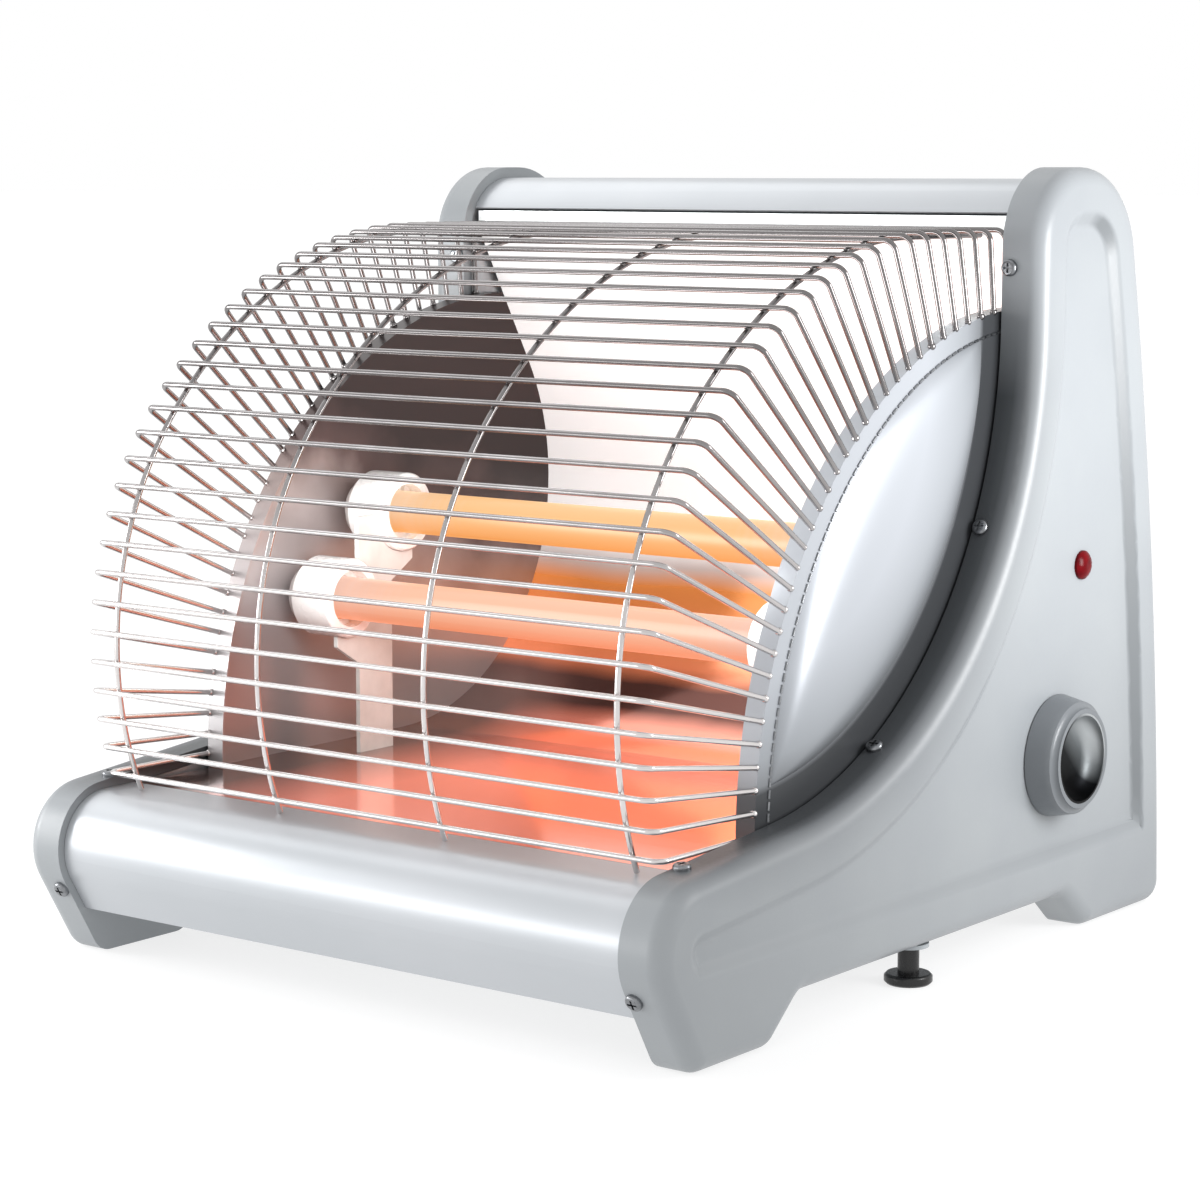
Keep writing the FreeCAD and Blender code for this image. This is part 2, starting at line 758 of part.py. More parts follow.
# Back panel: a bowed sheet with rows of vents, tucked under the back of the top cover
def back_panel():
    near = BACK_INSET + S.sheet
    reach = S.bow_radius - near
    corners = [
        (rear_at(near, S.front_bottom), S.front_bottom),
        (rear_at(BACK_INSET, S.front_bottom), S.front_bottom, S.bow_radius - BACK_INSET),
        (ARCH_Y + BOW_OUT_Y * (S.arch_radius - BACK_INSET), ARCH_Z + BOW_OUT_Z * (S.arch_radius - BACK_INSET)),
        (ARCH_Y + BOW_OUT_Y * (S.arch_radius - near), ARCH_Z + BOW_OUT_Z * (S.arch_radius - near), -reach),
    ]
    owner = span("back_panel_body", corners, SPAN)
    row = sketch_on(owner, "XZ_Plane")
    for column in (-1, 0, 1):
        middle = S.vent_spacing * column
        half = (S.vent_length - S.vent_height) / 2
        low, high = S.vent_start - S.vent_height / 2, S.vent_start + S.vent_height / 2
        draw(row, rectangle(middle - half, middle + half, low, high))
    cut = pocket(owner, row)
    rows = owner.newObject("PartDesign::LinearPattern", "vent_rows")
    rows.Originals = [cut]
    rows.Direction = (row, ["V_Axis"])
    bind(rows, "Length", S.vent_pitch * (S.vent_rows - 1))
    bind(rows, "Occurrences", S.vent_rows)
    owner.Tip = rows
    hole = sketch_on(owner, "XZ_Plane")
    draw_circle(hole, S.gland_x, S.gland_z, S.gland_neck + 2 * S.screw_fit)
    doc.recompute()
    pocket(owner, hole)
    seats = back_seats()
    finish(drilled(owner, "back_panel_cut", seats), "back_panel")
    screw_group("back_panel_screws", seats)


# Three screws down each side of the back panel, square to its bow
def back_seats():
    x = SPAN / 2 - S.screw_margin
    seats = []
    for share in (0.15, 0.5, 0.85):
        z = S.front_bottom + (ARCH_Z - S.front_bottom) * share
        y = rear_at(BACK_INSET, z)
        for side in (-1, 1):
            seats.append((vector(x * side, y, z), Vector(0, value_of(y - BOW_Y), value_of(z - BOW_Z))))
    return seats


back_panel()

# Reflector: flat floor, round back, straight slope up to a lip under the top cover
MIRROR_Y = kept("mirror_y", S.mirror_back - S.mirror_radius)
MIRROR_Z = kept("mirror_z", S.mirror_floor + S.mirror_radius)
LIP_Y = kept("lip_y", COVER_FRONT_Y)
LIP_TOP = kept("lip_top", COVER_FRONT_Z - S.seat_gap - S.sheet)
LIP_Z = kept("lip_z", LIP_TOP - S.mirror_lip)
SLOPE_RUN = kept("slope_run", MIRROR_Y + cosine(S.mirror_turn) * S.mirror_radius - LIP_Y)
SLOPE_HIGH = kept("slope_high", LIP_Z - MIRROR_Z - sine(S.mirror_turn) * S.mirror_radius)
SLOPE = kept("slope", root(SLOPE_RUN * SLOPE_RUN + SLOPE_HIGH * SLOPE_HIGH))
MIRROR_OUT_Y = kept("mirror_out_y", SLOPE_HIGH / SLOPE)
MIRROR_OUT_Z = kept("mirror_out_z", SLOPE_RUN / SLOPE)
MIRROR_FRONT = kept("mirror_front", S.nose_setback + S.front_top + S.seat_gap)


# Where the outside of the sloping sheet, set out by a distance, passes a given height or depth
def slope_at_height(out, z):
    run = (z - LIP_Z - MIRROR_OUT_Z * out) / MIRROR_OUT_Y
    return LIP_Y + MIRROR_OUT_Y * out - MIRROR_OUT_Z * run


def slope_at_depth(out, y):
    run = (LIP_Y + MIRROR_OUT_Y * out - y) / MIRROR_OUT_Z
    return LIP_Z + MIRROR_OUT_Z * out + MIRROR_OUT_Y * run


def mirror_curve(out):
    radius = S.mirror_radius + out
    return [
        (MIRROR_Y, MIRROR_Z - radius),
        (MIRROR_Y + radius, MIRROR_Z),
        (MIRROR_Y + cosine(S.mirror_turn) * radius, MIRROR_Z + sine(S.mirror_turn) * radius),
    ]


def reflector():
    thick = S.mirror_sheet
    bottom, back, top = mirror_curve(0.0)
    far_bottom, far_back, far_top = mirror_curve(thick)
    radius = S.mirror_radius
    corners = [
        (MIRROR_FRONT, S.mirror_floor - S.front_hem),
        (MIRROR_FRONT + thick, S.mirror_floor - S.front_hem),
        (MIRROR_FRONT + thick, S.mirror_floor - thick),
        far_bottom + (radius + thick,),
        far_back + (radius + thick,),
        far_top,
        (LIP_Y + thick, slope_at_depth(thick, LIP_Y + thick)),
        (LIP_Y + thick, LIP_TOP),
        (LIP_Y, LIP_TOP),
        (LIP_Y, LIP_Z),
        top + (-radius,),
        back + (-radius,),
        bottom,
        (MIRROR_FRONT, S.mirror_floor),
    ]
    finish(span("reflector", corners, DISC_INSIDE * 2), "reflector")


# The discs close the ends of the trough. Their front edge is an arc, from a toe on the floor to a
# shoulder on the slope, with a rim turned inwards. A lens-shaped dome is pressed out between the
# rim and the swept edge of the side panel.
DISC_OUTSIDE = kept("disc_outside", INNER - S.disc_gap)
DISC_INSIDE = kept("disc_inside", DISC_OUTSIDE - S.sheet)
DISC_OUT = kept("disc_out", S.mirror_sheet + S.disc_margin)
DISC_FLOOR = kept("disc_floor", S.mirror_floor - DISC_OUT)
RIM_FLOOR = kept("rim_floor", S.mirror_floor + S.seat_gap)
DISC_TOP = kept("disc_top", LIP_Z - S.disc_drop)
SHOULDER_Y = kept("shoulder_y", slope_at_height(DISC_OUT, DISC_TOP))
HALF_RUN = kept("half_run", (SHOULDER_Y - S.disc_front) / 2)
HALF_HIGH = kept("half_high", (DISC_TOP - DISC_FLOOR) / 2)
HALF = kept("half", root(HALF_RUN * HALF_RUN + HALF_HIGH * HALF_HIGH))
BELOW = kept("below", root(S.disc_radius * S.disc_radius - HALF * HALF))
FOCUS_Y = kept("focus_y", S.disc_front + HALF_RUN + BELOW * HALF_HIGH / HALF)
FOCUS_Z = kept("focus_z", DISC_FLOOR + HALF_HIGH - BELOW * HALF_RUN / HALF)
RIM_END = kept("rim_end", SHOULDER_Y - S.disc_corner * 0.6)


def rim_at(radius, z):
    return FOCUS_Y - root(radius * radius - (z - FOCUS_Z) * (z - FOCUS_Z))


def rim_end(radius):
    return RIM_END, FOCUS_Z + root(radius * radius - (RIM_END - FOCUS_Y) * (RIM_END - FOCUS_Y))


# The lens between a circle about the focus and a circle about the sweep's centre
def lens(rim, edge):
    gap_y, gap_z = FOCUS_Y - S.sweep_start, SWEEP_Z - FOCUS_Z
    apart = root(gap_y * gap_y + gap_z * gap_z)
    along = (apart * apart + rim * rim - edge * edge) / (apart * 2)
    aside = root(rim * rim - along * along)
    middle_y, middle_z = FOCUS_Y - gap_y * along / apart, FOCUS_Z + gap_z * along / apart
    low = (middle_y - gap_z * aside / apart, middle_z - gap_y * aside / apart)
    high = (middle_y + gap_z * aside / apart, middle_z + gap_y * aside / apart)
    return [low + (edge,), high + (rim,)]


def reflector_end(side):
    label = "right_reflector_end" if side > 0 else "left_reflector_end"
    owner = body(label)
    bottom, back, top = mirror_curve(DISC_OUT)
    radius = S.mirror_radius + DISC_OUT
    face = sketch_on(owner, "YZ_Plane", DISC_OUTSIDE * side)
    shoulder = (SHOULDER_Y, DISC_TOP)
    draw(face, [
        (S.disc_front, DISC_FLOOR),
        bottom + (radius,),
        back + (radius,),
        top,
        shoulder + (S.disc_radius,),
    ])
    plate = pad(owner, face, S.sheet, backwards=side > 0)
    plate = fillet(owner, plate, S.disc_corner, along_x_at([shoulder]))
    rim = sketch_on(owner, "YZ_Plane", DISC_OUTSIDE * side)
    inner = S.disc_radius - S.sheet
    draw(rim, [
        (rim_at(S.disc_radius, RIM_FLOOR), RIM_FLOOR),
        (rim_at(inner, RIM_FLOOR), RIM_FLOOR, -inner),
        rim_end(inner),
        rim_end(S.disc_radius) + (S.disc_radius,),
    ])
    pad(owner, rim, S.disc_flange, backwards=side > 0)
    dome = sketch_on(owner, "YZ_Plane", DISC_OUTSIDE * side)
    draw(dome, lens(S.disc_radius - S.dome_rim, S.sweep_radius - S.dome_margin))
    raised = pad(owner, dome, S.dome_height, backwards=side < 0, slope=-S.dome_angle)
    fillet(owner, raised, S.dome_radius, flat_at((DISC_OUTSIDE + S.dome_height) * side))
    finish(owner, label)


reflector()
for hand in (1, -1):
    reflector_end(hand)


# Wire guard, as a path in the YZ plane: a lower arc from the nose, an upper arc to the crown, then
# a level run to the reflector's lip
def guard_path(inset):
    lower, upper = S.guard_lower.value - inset, S.guard_upper.value - inset
    turn = math.radians(S.guard_turn.value)
    crown = Vector(0, S.guard_crown.value, (LIP_Z + S.guard_rise - S.guard_upper).value)
    middle = crown + Vector(0, -math.cos(turn), math.sin(turn)) * (upper - lower)
    floor = S.nose_height.value - S.front_inset.value + S.weld_gap.value
    lean = (middle.z - floor) / lower
    low = math.asin(S.guard_wire.value / 2 * lean / lower - lean)
    lengths = [lower * (turn - low), upper * (math.pi / 2 - turn), LIP_Y.value - S.weld_gap.value - crown.y]
    return SimpleNamespace(lower=lower, upper=upper, turn=turn, low=low, crown=crown, middle=middle, lengths=lengths)


def guard_point(path, distance):
    first, second, _ = path.lengths
    if distance < first:
        angle = path.low + distance / path.lower
        return path.middle + Vector(0, -math.cos(angle), math.sin(angle)) * path.lower
    if distance < first + second:
        angle = path.turn + (distance - first) / path.upper
        return path.crown + Vector(0, -math.cos(angle), math.sin(angle)) * path.upper
    return path.crown + Vector(0, distance - first - second, path.upper)


def tube(edges, diameter):
    wire = Part.Wire(edges)
    start = wire.Edges[0].valueAt(wire.Edges[0].FirstParameter)
    way = wire.Edges[0].tangentAt(wire.Edges[0].FirstParameter)
    section = Part.Wire([Part.makeCircle(diameter / 2, start, way)])
    return wire.makePipeShell([section], True, False)


def guard_hoops():
    path = guard_path(S.guard_wire.value + S.weld_gap.value)
    first, second, third = path.lengths
    marks = [0.0, first / 2, first, first + second / 2, first + second, first + second + third]
    inner, shift = S.hoop_inner.value, S.hoop_shift.value
    solids = []
    for x in (-S.hoop_outer.value, shift - inner, shift + inner, S.hoop_outer.value):
        stops = [guard_point(path, mark) + Vector(x, 0, 0) for mark in marks]
        edges = [Part.Arc(*stops[:3]).toShape(), Part.Arc(*stops[2:5]).toShape()]
        edges.append(Part.LineSegment(*stops[4:]).toShape())
        solids.append(tube(edges, S.guard_wire.value))
    finish_solid("guard_hoops", Part.makeCompound(solids))


def rounded_run(points, radius):
    edges, last = [], points[0]
    for before, corner, after in zip(points, points[1:], points[2:]):
        back, on = (before - corner).normalize(), (after - corner).normalize()
        reach = radius / math.tan(back.getAngle(on) / 2)
        enter, leave = corner + back * reach, corner + on * reach
        middle = (back + on).normalize()
        inside = corner + middle * (math.hypot(reach, radius) - radius)
        edges.append(Part.LineSegment(last, enter).toShape())
        edges.append(Part.Arc(enter, inside, leave).toShape())
        last = leave
    edges.append(Part.LineSegment(last, points[-1]).toShape())
    return edges


def guard_bars():
    path = guard_path(0.0)
    focus = Vector(0, FOCUS_Y.value, FOCUS_Z.value)
    across = Vector(S.guard_half.value, 0, 0)
    length = sum(path.lengths) - S.guard_wire.value
    count = int((length - S.guard_start.value) / S.guard_pitch.value) + 1
    solids = []
    for number in range(count):
        corner = guard_point(path, S.guard_start.value + number * S.guard_pitch.value)
        outwards = (corner - focus).normalize()
        seat = focus + outwards * (S.disc_radius.value + S.weld_gap.value)
        stops = [seat - across, corner - across, corner + across, seat + across]
        solids.append(tube(rounded_run(stops, S.guard_bend.value), S.guard_wire.value))
    finish_solid("guard_bars", Part.makeCompound(solids))


guard_hoops()
guard_bars()

# Rods: a tube round a wound core, held at both ends in ceramic holders
RODS = {"upper": (S.upper_rod_y, S.upper_rod_z), "lower": (S.lower_rod_y, S.lower_rod_z)}
HOLDER_BACK = kept("holder_back", S.holder_mouth + S.holder_length)
ROD_END = kept("rod_end", S.holder_mouth + S.holder_depth - S.rod_fit)
CORE_END = kept("core_end", HOLDER_BACK - S.holder_edge)


def mirrored(corners, side):
    return [(corner[0] * side,) + tuple(corner[1:]) for corner in corners]


def rod(name, y, z):
    outside, inside = S.rod_diameter / 2, S.rod_diameter / 2 - S.rod_wall
    turned(f"{name}_rod", rectangle(-ROD_END, ROD_END, inside, outside), y, z)
    turned(f"{name}_rod_core", rectangle(-CORE_END, CORE_END, 0, S.core_diameter / 2), y, z)


def holder(label, side, y, z):
    outer = S.holder_diameter / 2
    bore = S.rod_diameter / 2 + S.rod_fit
    hole = S.core_diameter / 2 + S.core_fit
    corners = [
        (S.holder_mouth, S.holder_socket / 2),
        (S.holder_mouth, outer - S.holder_edge),
        (S.holder_mouth + S.holder_edge, outer),
        (HOLDER_BACK - S.holder_bevel, outer),
        (HOLDER_BACK, S.holder_end / 2),
        (HOLDER_BACK, hole),
        (S.holder_mouth + S.holder_depth, hole),
        (S.holder_mouth + S.holder_depth, bore),
        (S.holder_mouth + S.holder_lip, bore),
        (S.holder_mouth + S.holder_lip, S.holder_socket / 2),
    ]
    turned(label, mirrored(corners, side), y, z)


# A bracket stands on the floor of the reflector between the two holders of its side. It is cut away
# round both of them and hooks under each with a small lug.
def bracket(side):
    label = "right_rod_bracket" if side > 0 else "left_rod_bracket"
    low, front = S.mirror_floor, S.lower_rod_y + S.bracket_offset
    back = S.upper_rod_y - S.bracket_offset
    under = S.holder_diameter / 2 + S.bracket_hook
    plane = (S.holder_mouth + S.bracket_back) * side
    owner = body(label)
    sketch = sketch_on(owner, "YZ_Plane", plane)
    draw(sketch, [
        (front, low),
        (back, low),
        (back, S.upper_rod_z - under - S.bracket_web),
        (S.upper_rod_y + S.bracket_lug, S.upper_rod_z - under),
        (S.upper_rod_y + S.bracket_lug, S.upper_rod_z),
        (front, S.upper_rod_z),
        (front, S.lower_rod_z),
        (S.lower_rod_y - S.bracket_lug, S.lower_rod_z),
        (S.lower_rod_y - S.bracket_lug, S.lower_rod_z - under),
        (front, S.lower_rod_z - under - S.bracket_web),
    ])
    pad(owner, sketch, S.bracket_plate, backwards=side < 0)
    room = sketch_on(owner, "YZ_Plane", plane)
    for y, z in RODS.values():
        draw_circle(room, y, z, S.holder_diameter + 2 * S.rod_fit)
    pocket(owner, room, S.bracket_plate, backwards=side > 0)
    finish(owner, label)


def terminals():
    solids = []
    for y, z in RODS.values():
        for side in (1, -1):
            start = vector(CORE_END * side, y, z)
            way = Vector(side, 0, 0)
            solids.append(Part.makeCylinder(S.terminal_diameter.value / 2, S.terminal_length.value, start, way))
    finish_solid("rod_terminals", Part.makeCompound(solids))


for rod_name, rod_place in RODS.items():
    rod(rod_name, *rod_place)
    for hand_name, hand in (("left", -1), ("right", 1)):
        holder(f"{rod_name}_{hand_name}_holder", hand, *rod_place)
for hand in (1, -1):
    bracket(hand)
terminals()

# Selector knob with its dish, on the spindle of the rotary switch
KNOB_BACK = kept("knob_back", FIELD + S.knob_gap)
KNOB_FRONT = kept("knob_front", KNOB_BACK + S.knob_height)
DISH_BACK = kept("dish_back", KNOB_FRONT - S.dish_depth)
NUT_ROOM = kept("nut_room", S.nut_height + S.knob_gap)
SWITCH_BACK = kept("switch_back", CAVITY - S.switch_depth)


def knob():
    base, top = S.knob_diameter / 2, S.knob_top / 2
    dish = S.dish_diameter / 2
    seat = S.spindle_diameter / 2 + S.spindle_fit
    corners = [
        (KNOB_BACK, S.nut_width / 2 + S.spindle_seat),
        (KNOB_BACK, base),
        (KNOB_FRONT - S.knob_edge, top, S.knob_edge),
        (KNOB_FRONT, top - S.knob_edge),
        (KNOB_FRONT, dish),
        (DISH_BACK, dish),
        (DISH_BACK, seat),
        (KNOB_BACK + NUT_ROOM, seat),
        (KNOB_BACK + NUT_ROOM, S.nut_width / 2 + S.spindle_seat),
    ]
    turned("selector_knob", corners, S.knob_y, S.knob_z)


def knob_dish():
    dish = S.dish_diameter / 2 - S.spindle_fit
    sheet_in = dish - S.dish_sheet
    bowl = S.dish_depth - S.dish_sheet
    corners = [
        (DISH_BACK, 0),
        (DISH_BACK, dish),
        (KNOB_FRONT, dish),
        (KNOB_FRONT, sheet_in, bowl),
        (DISH_BACK + S.dish_sheet, sheet_in - bowl),
        (DISH_BACK + S.dish_sheet, 0),
    ]
    turned("knob_dish", [corner for corner in corners], S.knob_y, S.knob_z)


def spindle():
    start = SWITCH_BACK + S.spindle_seat
    end = DISH_BACK - S.spindle_fit
    turned("switch_spindle", rectangle(start, end, 0, S.spindle_diameter / 2), S.knob_y, S.knob_z)


def rotary_switch():
    owner = body("rotary_switch")
    half = S.switch_width / 2
    bore = S.spindle_diameter + 2 * S.spindle_fit
    block = sketch_on(owner, "YZ_Plane", SWITCH_BACK)
    draw(block, rectangle(S.knob_y - half, S.knob_y + half, S.knob_z - half, S.knob_z + half))
    pad(owner, block, S.switch_depth)
    neck = sketch_on(owner, "YZ_Plane", CAVITY)
    draw_circle(neck, S.knob_y, S.knob_z, S.bush_diameter)
    pad(owner, neck, S.panel_face + NUT_ROOM)
    hole = sketch_on(owner, "YZ_Plane", SWITCH_BACK + S.spindle_seat - S.spindle_fit)
    draw_circle(hole, S.knob_y, S.knob_z, bore)
    pocket(owner, hole, S.panel_thickness, backwards=True)
    finish(owner, "rotary_switch")


def switch_nut():
    owner = body("switch_nut")
    sketch = sketch_on(owner, "YZ_Plane", FIELD)
    across = S.nut_width / 2
    point = across * (2 / math.sqrt(3))
    corners = []
    for number in range(6):
        angle = math.radians(60 * number)
        corners.append((S.knob_y + point * math.cos(angle), S.knob_z + point * math.sin(angle)))
    draw(sketch, corners)
    draw_circle(sketch, S.knob_y, S.knob_z, S.bush_diameter + 2 * S.spindle_fit)
    pad(owner, sketch, S.nut_height)
    finish(owner, "switch_nut")


knob()
knob_dish()
spindle()
rotary_switch()
switch_nut()


# Pilot lamp: a red lens pushed through the panel into its holder
def pilot_lamp():
    stem_end = CAVITY - S.lamp_holder_depth / 2
    rise = S.lamp_rise - S.lamp_collar
    wide = S.lamp_diameter / 2
    run = wide - S.lamp_crown
    dome = (run * run + rise * rise) / (rise * 2)
    lens_corners = [
        (stem_end, 0),
        (stem_end, S.lamp_stem / 2),
        (FIELD, S.lamp_stem / 2),
        (FIELD, wide),
        (FIELD + S.lamp_collar, wide, -dome),
        (FIELD + S.lamp_rise, S.lamp_crown),
        (FIELD + S.lamp_rise, 0),
    ]
    turned("pilot_lamp_lens", lens_corners, S.lamp_y, S.lamp_z)
    back = CAVITY - S.lamp_holder_depth
    bore = S.lamp_stem / 2 + S.screw_fit
    holder_corners = [
        (back, 0),
        (back, S.lamp_holder / 2),
        (CAVITY, S.lamp_holder / 2),
        (CAVITY, bore),
        (stem_end - S.screw_fit, bore),
        (stem_end - S.screw_fit, 0),
    ]
    turned("pilot_lamp_holder", holder_corners, S.lamp_y, S.lamp_z)


pilot_lamp()

# Tip-over switch: the floor holds the plunger up, and a spring pushes it down when the heater is lifted
PANEL_FLOOR = kept("panel_floor", S.base_clearance + S.panel_wall)
GUIDE_TOP = kept("guide_top", S.base_clearance + S.guide_length)
COLLAR_LOW = kept("collar_low", GUIDE_TOP + S.plunger_travel + S.seat_gap)
COLLAR_TOP = kept("collar_top", COLLAR_LOW + S.plunger_collar_height)
TIP_FLOOR = kept("tip_floor", COLLAR_TOP + S.spring_room)


def upright(label, corners):
    owner = body(label)
    sketch = sketch_on(owner, "XZ_Plane")
    draw(sketch, corners)
    feature = owner.newObject("PartDesign::Revolution", f"{owner.Name}_revolution")
    feature.Profile = sketch
    feature.ReferenceAxis = (sketch, ["V_Axis"])
    feature.Angle = 360
    doc.recompute()
    return finish(owner, label, PLUNGER_X, S.plunger_y, 0.0)


def tip_over_switch():
    foot, stem, pin = S.plunger_foot / 2, S.plunger_stem / 2, S.plunger_pin / 2
    soft = S.plunger_foot_height / 4
    upright("tip_plunger", [
        (0, 0),
        (foot - soft, 0),
        (foot, soft),
        (foot, S.plunger_foot_height - soft),
        (foot - soft, S.plunger_foot_height),
        (stem, S.plunger_foot_height),
        (stem, COLLAR_LOW),
        (S.plunger_collar / 2, COLLAR_LOW),
        (S.plunger_collar / 2, COLLAR_TOP),
        (pin, COLLAR_TOP),
        (pin, TIP_FLOOR - S.seat_gap),
        (0, TIP_FLOOR - S.seat_gap),
    ])
    bore = stem + S.guide_fit
    upright("plunger_guide", [
        (bore, S.base_clearance - S.guide_flange_height),
        (S.guide_flange / 2, S.base_clearance - S.guide_flange_height),
        (S.guide_flange / 2, S.base_clearance),
        (S.guide_outer / 2, S.base_clearance),
        (S.guide_outer / 2, GUIDE_TOP),
        (bore, GUIDE_TOP),
    ])
    owner = body("tip_switch")
    block = sketch_on(owner, "XY_Plane", TIP_FLOOR)
    half = S.tip_switch_width / 2
    draw(block, rectangle(INNER + S.cover_plate + S.seat_gap, CAVITY, S.plunger_y - half, S.plunger_y + half))
    pad(owner, block, S.tip_switch_height)
    finish(owner, "tip_switch")


# The spring between the plunger's collar and the switch: one wire of half-turn arcs that rise evenly
def plunger_spring():
    wire, mean = S.spring_wire.value, S.spring_mean.value / 2
    low = COLLAR_TOP.value + S.seat_gap.value + wire / 2
    high = TIP_FLOOR.value - S.seat_gap.value - wire / 2
    helix = Part.makeHelix((high - low) / S.spring_turns.value, high - low, mean)
    helix.translate(Vector(PLUNGER_X.value, S.plunger_y.value, low))
    path = Part.Wire(helix)
    first = path.Edges[0]
    section = Part.Wire([Part.makeCircle(wire / 2, first.valueAt(first.FirstParameter), Vector(0, 1, 0))])
    finish_solid("plunger_spring", path.makePipeShell([section], True, True))


tip_over_switch()
plunger_spring()


# Electrical pieces behind the reflector
def thermal_cutout():
    owner = body("thermal_cutout")
    start = S.mirror_back + S.mirror_sheet + S.seat_gap
    sketch = sketch_on(owner, "XZ_Plane", -start)
    draw_circle(sketch, S.cutout_x, MIRROR_Z, S.cutout_diameter)
    pad(owner, sketch, S.cutout_depth, backwards=True)
    tab = sketch_on(owner, "XZ_Plane", -start)
    draw(tab, rectangle(S.cutout_x - S.cutout_diameter, S.cutout_x + S.cutout_diameter,
                        MIRROR_Z - S.cutout_diameter / 4, MIRROR_Z + S.cutout_diameter / 4))
    pad(owner, tab, S.sheet, backwards=True)
    finish(owner, "thermal_cutout")


def terminal_block():
    owner = body("terminal_block")
    back = PAN_BACK - S.block_setback
    sketch = sketch_on(owner, "XY_Plane", PAN_TOP)
    draw(sketch, rectangle(S.block_x - S.block_length / 2, S.block_x + S.block_length / 2,
                           back - S.block_width, back))
    pad(owner, sketch, S.block_height)
    finish(owner, "terminal_block")


# The gland's neck passes through the back panel along Y, with a flange outside and a tail inside.
def cord_gland():
    owner = body("cord_gland")
    outside = rear_at(BACK_INSET, S.gland_z) + S.gland_slack / 2
    inside = rear_at(BACK_INSET + S.sheet, S.gland_z) - S.gland_tail
    neck = sketch_on(owner, "XZ_Plane", -inside)
    draw_circle(neck, S.gland_x, S.gland_z, S.gland_neck)
    pad(owner, neck, outside - inside, backwards=True)
    flange = sketch_on(owner, "XZ_Plane", -outside)
    draw_circle(flange, S.gland_x, S.gland_z, S.gland_flange)
    raised = pad(owner, flange, S.gland_flange_depth, backwards=True)
    bore = sketch_on(owner, "XZ_Plane")
    draw_circle(bore, S.gland_x, S.gland_z, S.gland_bore)
    pocket(owner, bore)
    finish(owner, "cord_gland")


# Leads inside the right side panel: from the lamp to the rotary switch, and on to the tip-over switch
def leads():
    gap, x = S.seat_gap.value, PLUNGER_X.value
    knob_y, knob_z, half = S.knob_y.value, S.knob_z.value, S.switch_width.value / 2
    lamp_y, lamp_z = S.lamp_y.value, S.lamp_z.value
    half_way = (lamp_z - S.lamp_holder.value / 2 + knob_z + half) / 2
    tip_y = S.plunger_y.value + S.tip_switch_width.value / 2
    tip_z = (TIP_FLOOR + S.tip_switch_height / 2).value
    between = (knob_y - half + tip_y) / 2
    runs = [
        [(lamp_y, lamp_z - S.lamp_holder.value / 2 - gap), (lamp_y, half_way), (knob_y, half_way), (knob_y, knob_z + half + gap)],
        [(knob_y - half - gap, knob_z), (between, knob_z), (between, tip_z), (tip_y + gap, tip_z)],
    ]
    solids = []
    for run in runs:
        stops = [Vector(x, y, z) for y, z in run]
        solids.append(tube(rounded_run(stops, S.lead_bend.value), S.lead_diameter.value))
    finish_solid("leads", Part.makeCompound(solids))


thermal_cutout()
terminal_block()
cord_gland()
leads()

doc.recompute()
faults = [item.Name for item in doc.Objects if "Invalid" in item.State or "Error" in item.State]
for item in SUBPARTS:
    if item.Shape.isNull() or not item.Shape.isValid():
        faults.append(item.Label)
if faults:
    raise RuntimeError(f"these pieces failed: {faults}")
os.makedirs("parts", exist_ok=True)
for item in SUBPARTS:
    item.Shape.exportStep(f"parts/{item.Label}.step")
    print(item.Label, len(item.Shape.Solids), round(item.Shape.Volume, 1))
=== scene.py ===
import json
import math

import bmesh
import bpy
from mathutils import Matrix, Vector

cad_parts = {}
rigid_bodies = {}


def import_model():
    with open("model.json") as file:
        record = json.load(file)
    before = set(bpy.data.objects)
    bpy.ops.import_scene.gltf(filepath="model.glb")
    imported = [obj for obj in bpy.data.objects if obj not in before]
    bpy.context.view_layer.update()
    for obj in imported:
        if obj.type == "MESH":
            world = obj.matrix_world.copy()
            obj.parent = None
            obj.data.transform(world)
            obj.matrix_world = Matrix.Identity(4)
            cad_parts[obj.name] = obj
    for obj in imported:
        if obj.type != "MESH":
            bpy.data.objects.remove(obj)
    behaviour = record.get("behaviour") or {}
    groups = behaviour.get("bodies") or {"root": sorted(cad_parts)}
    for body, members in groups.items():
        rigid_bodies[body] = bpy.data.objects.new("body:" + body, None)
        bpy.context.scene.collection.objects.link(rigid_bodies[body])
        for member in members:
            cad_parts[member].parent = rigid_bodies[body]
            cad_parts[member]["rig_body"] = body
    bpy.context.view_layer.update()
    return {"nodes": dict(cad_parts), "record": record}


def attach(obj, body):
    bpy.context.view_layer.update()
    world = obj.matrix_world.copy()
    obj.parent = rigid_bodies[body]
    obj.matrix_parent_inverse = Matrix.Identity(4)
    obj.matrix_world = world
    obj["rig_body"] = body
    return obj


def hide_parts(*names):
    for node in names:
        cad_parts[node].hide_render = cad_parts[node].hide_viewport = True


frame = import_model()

nodes = frame["nodes"]
slotOf = {item["node"]: item["material_slot"] for item in frame["record"]["subparts"]}
mm = 0.001
datum = Vector((-4.65, -153.25, 0)) * mm  # middle of the side panels, front of the front feet, floor
panelSweep = (50.5, 240.0)  # middle of the side panels' hollow front edge, mm behind and above the datum
discFocus = (236.47, 67.2)  # middle of the discs' round rim, likewise
noiseLow, noiseHigh = 0.3, 0.7  # most values of a noise lie between these
crispAngle = math.radians(50)  # sharper edges stay crisp on domes, wires, beads and dashes
print("frame loaded:", len(nodes), "nodes")


def place(x, y, z):  # millimetres from the datum
    return datum + Vector((x, y, z)) * mm


def newObject(name, data):
    item = bpy.data.objects.new(name, data)
    bpy.context.collection.objects.link(item)
    return item


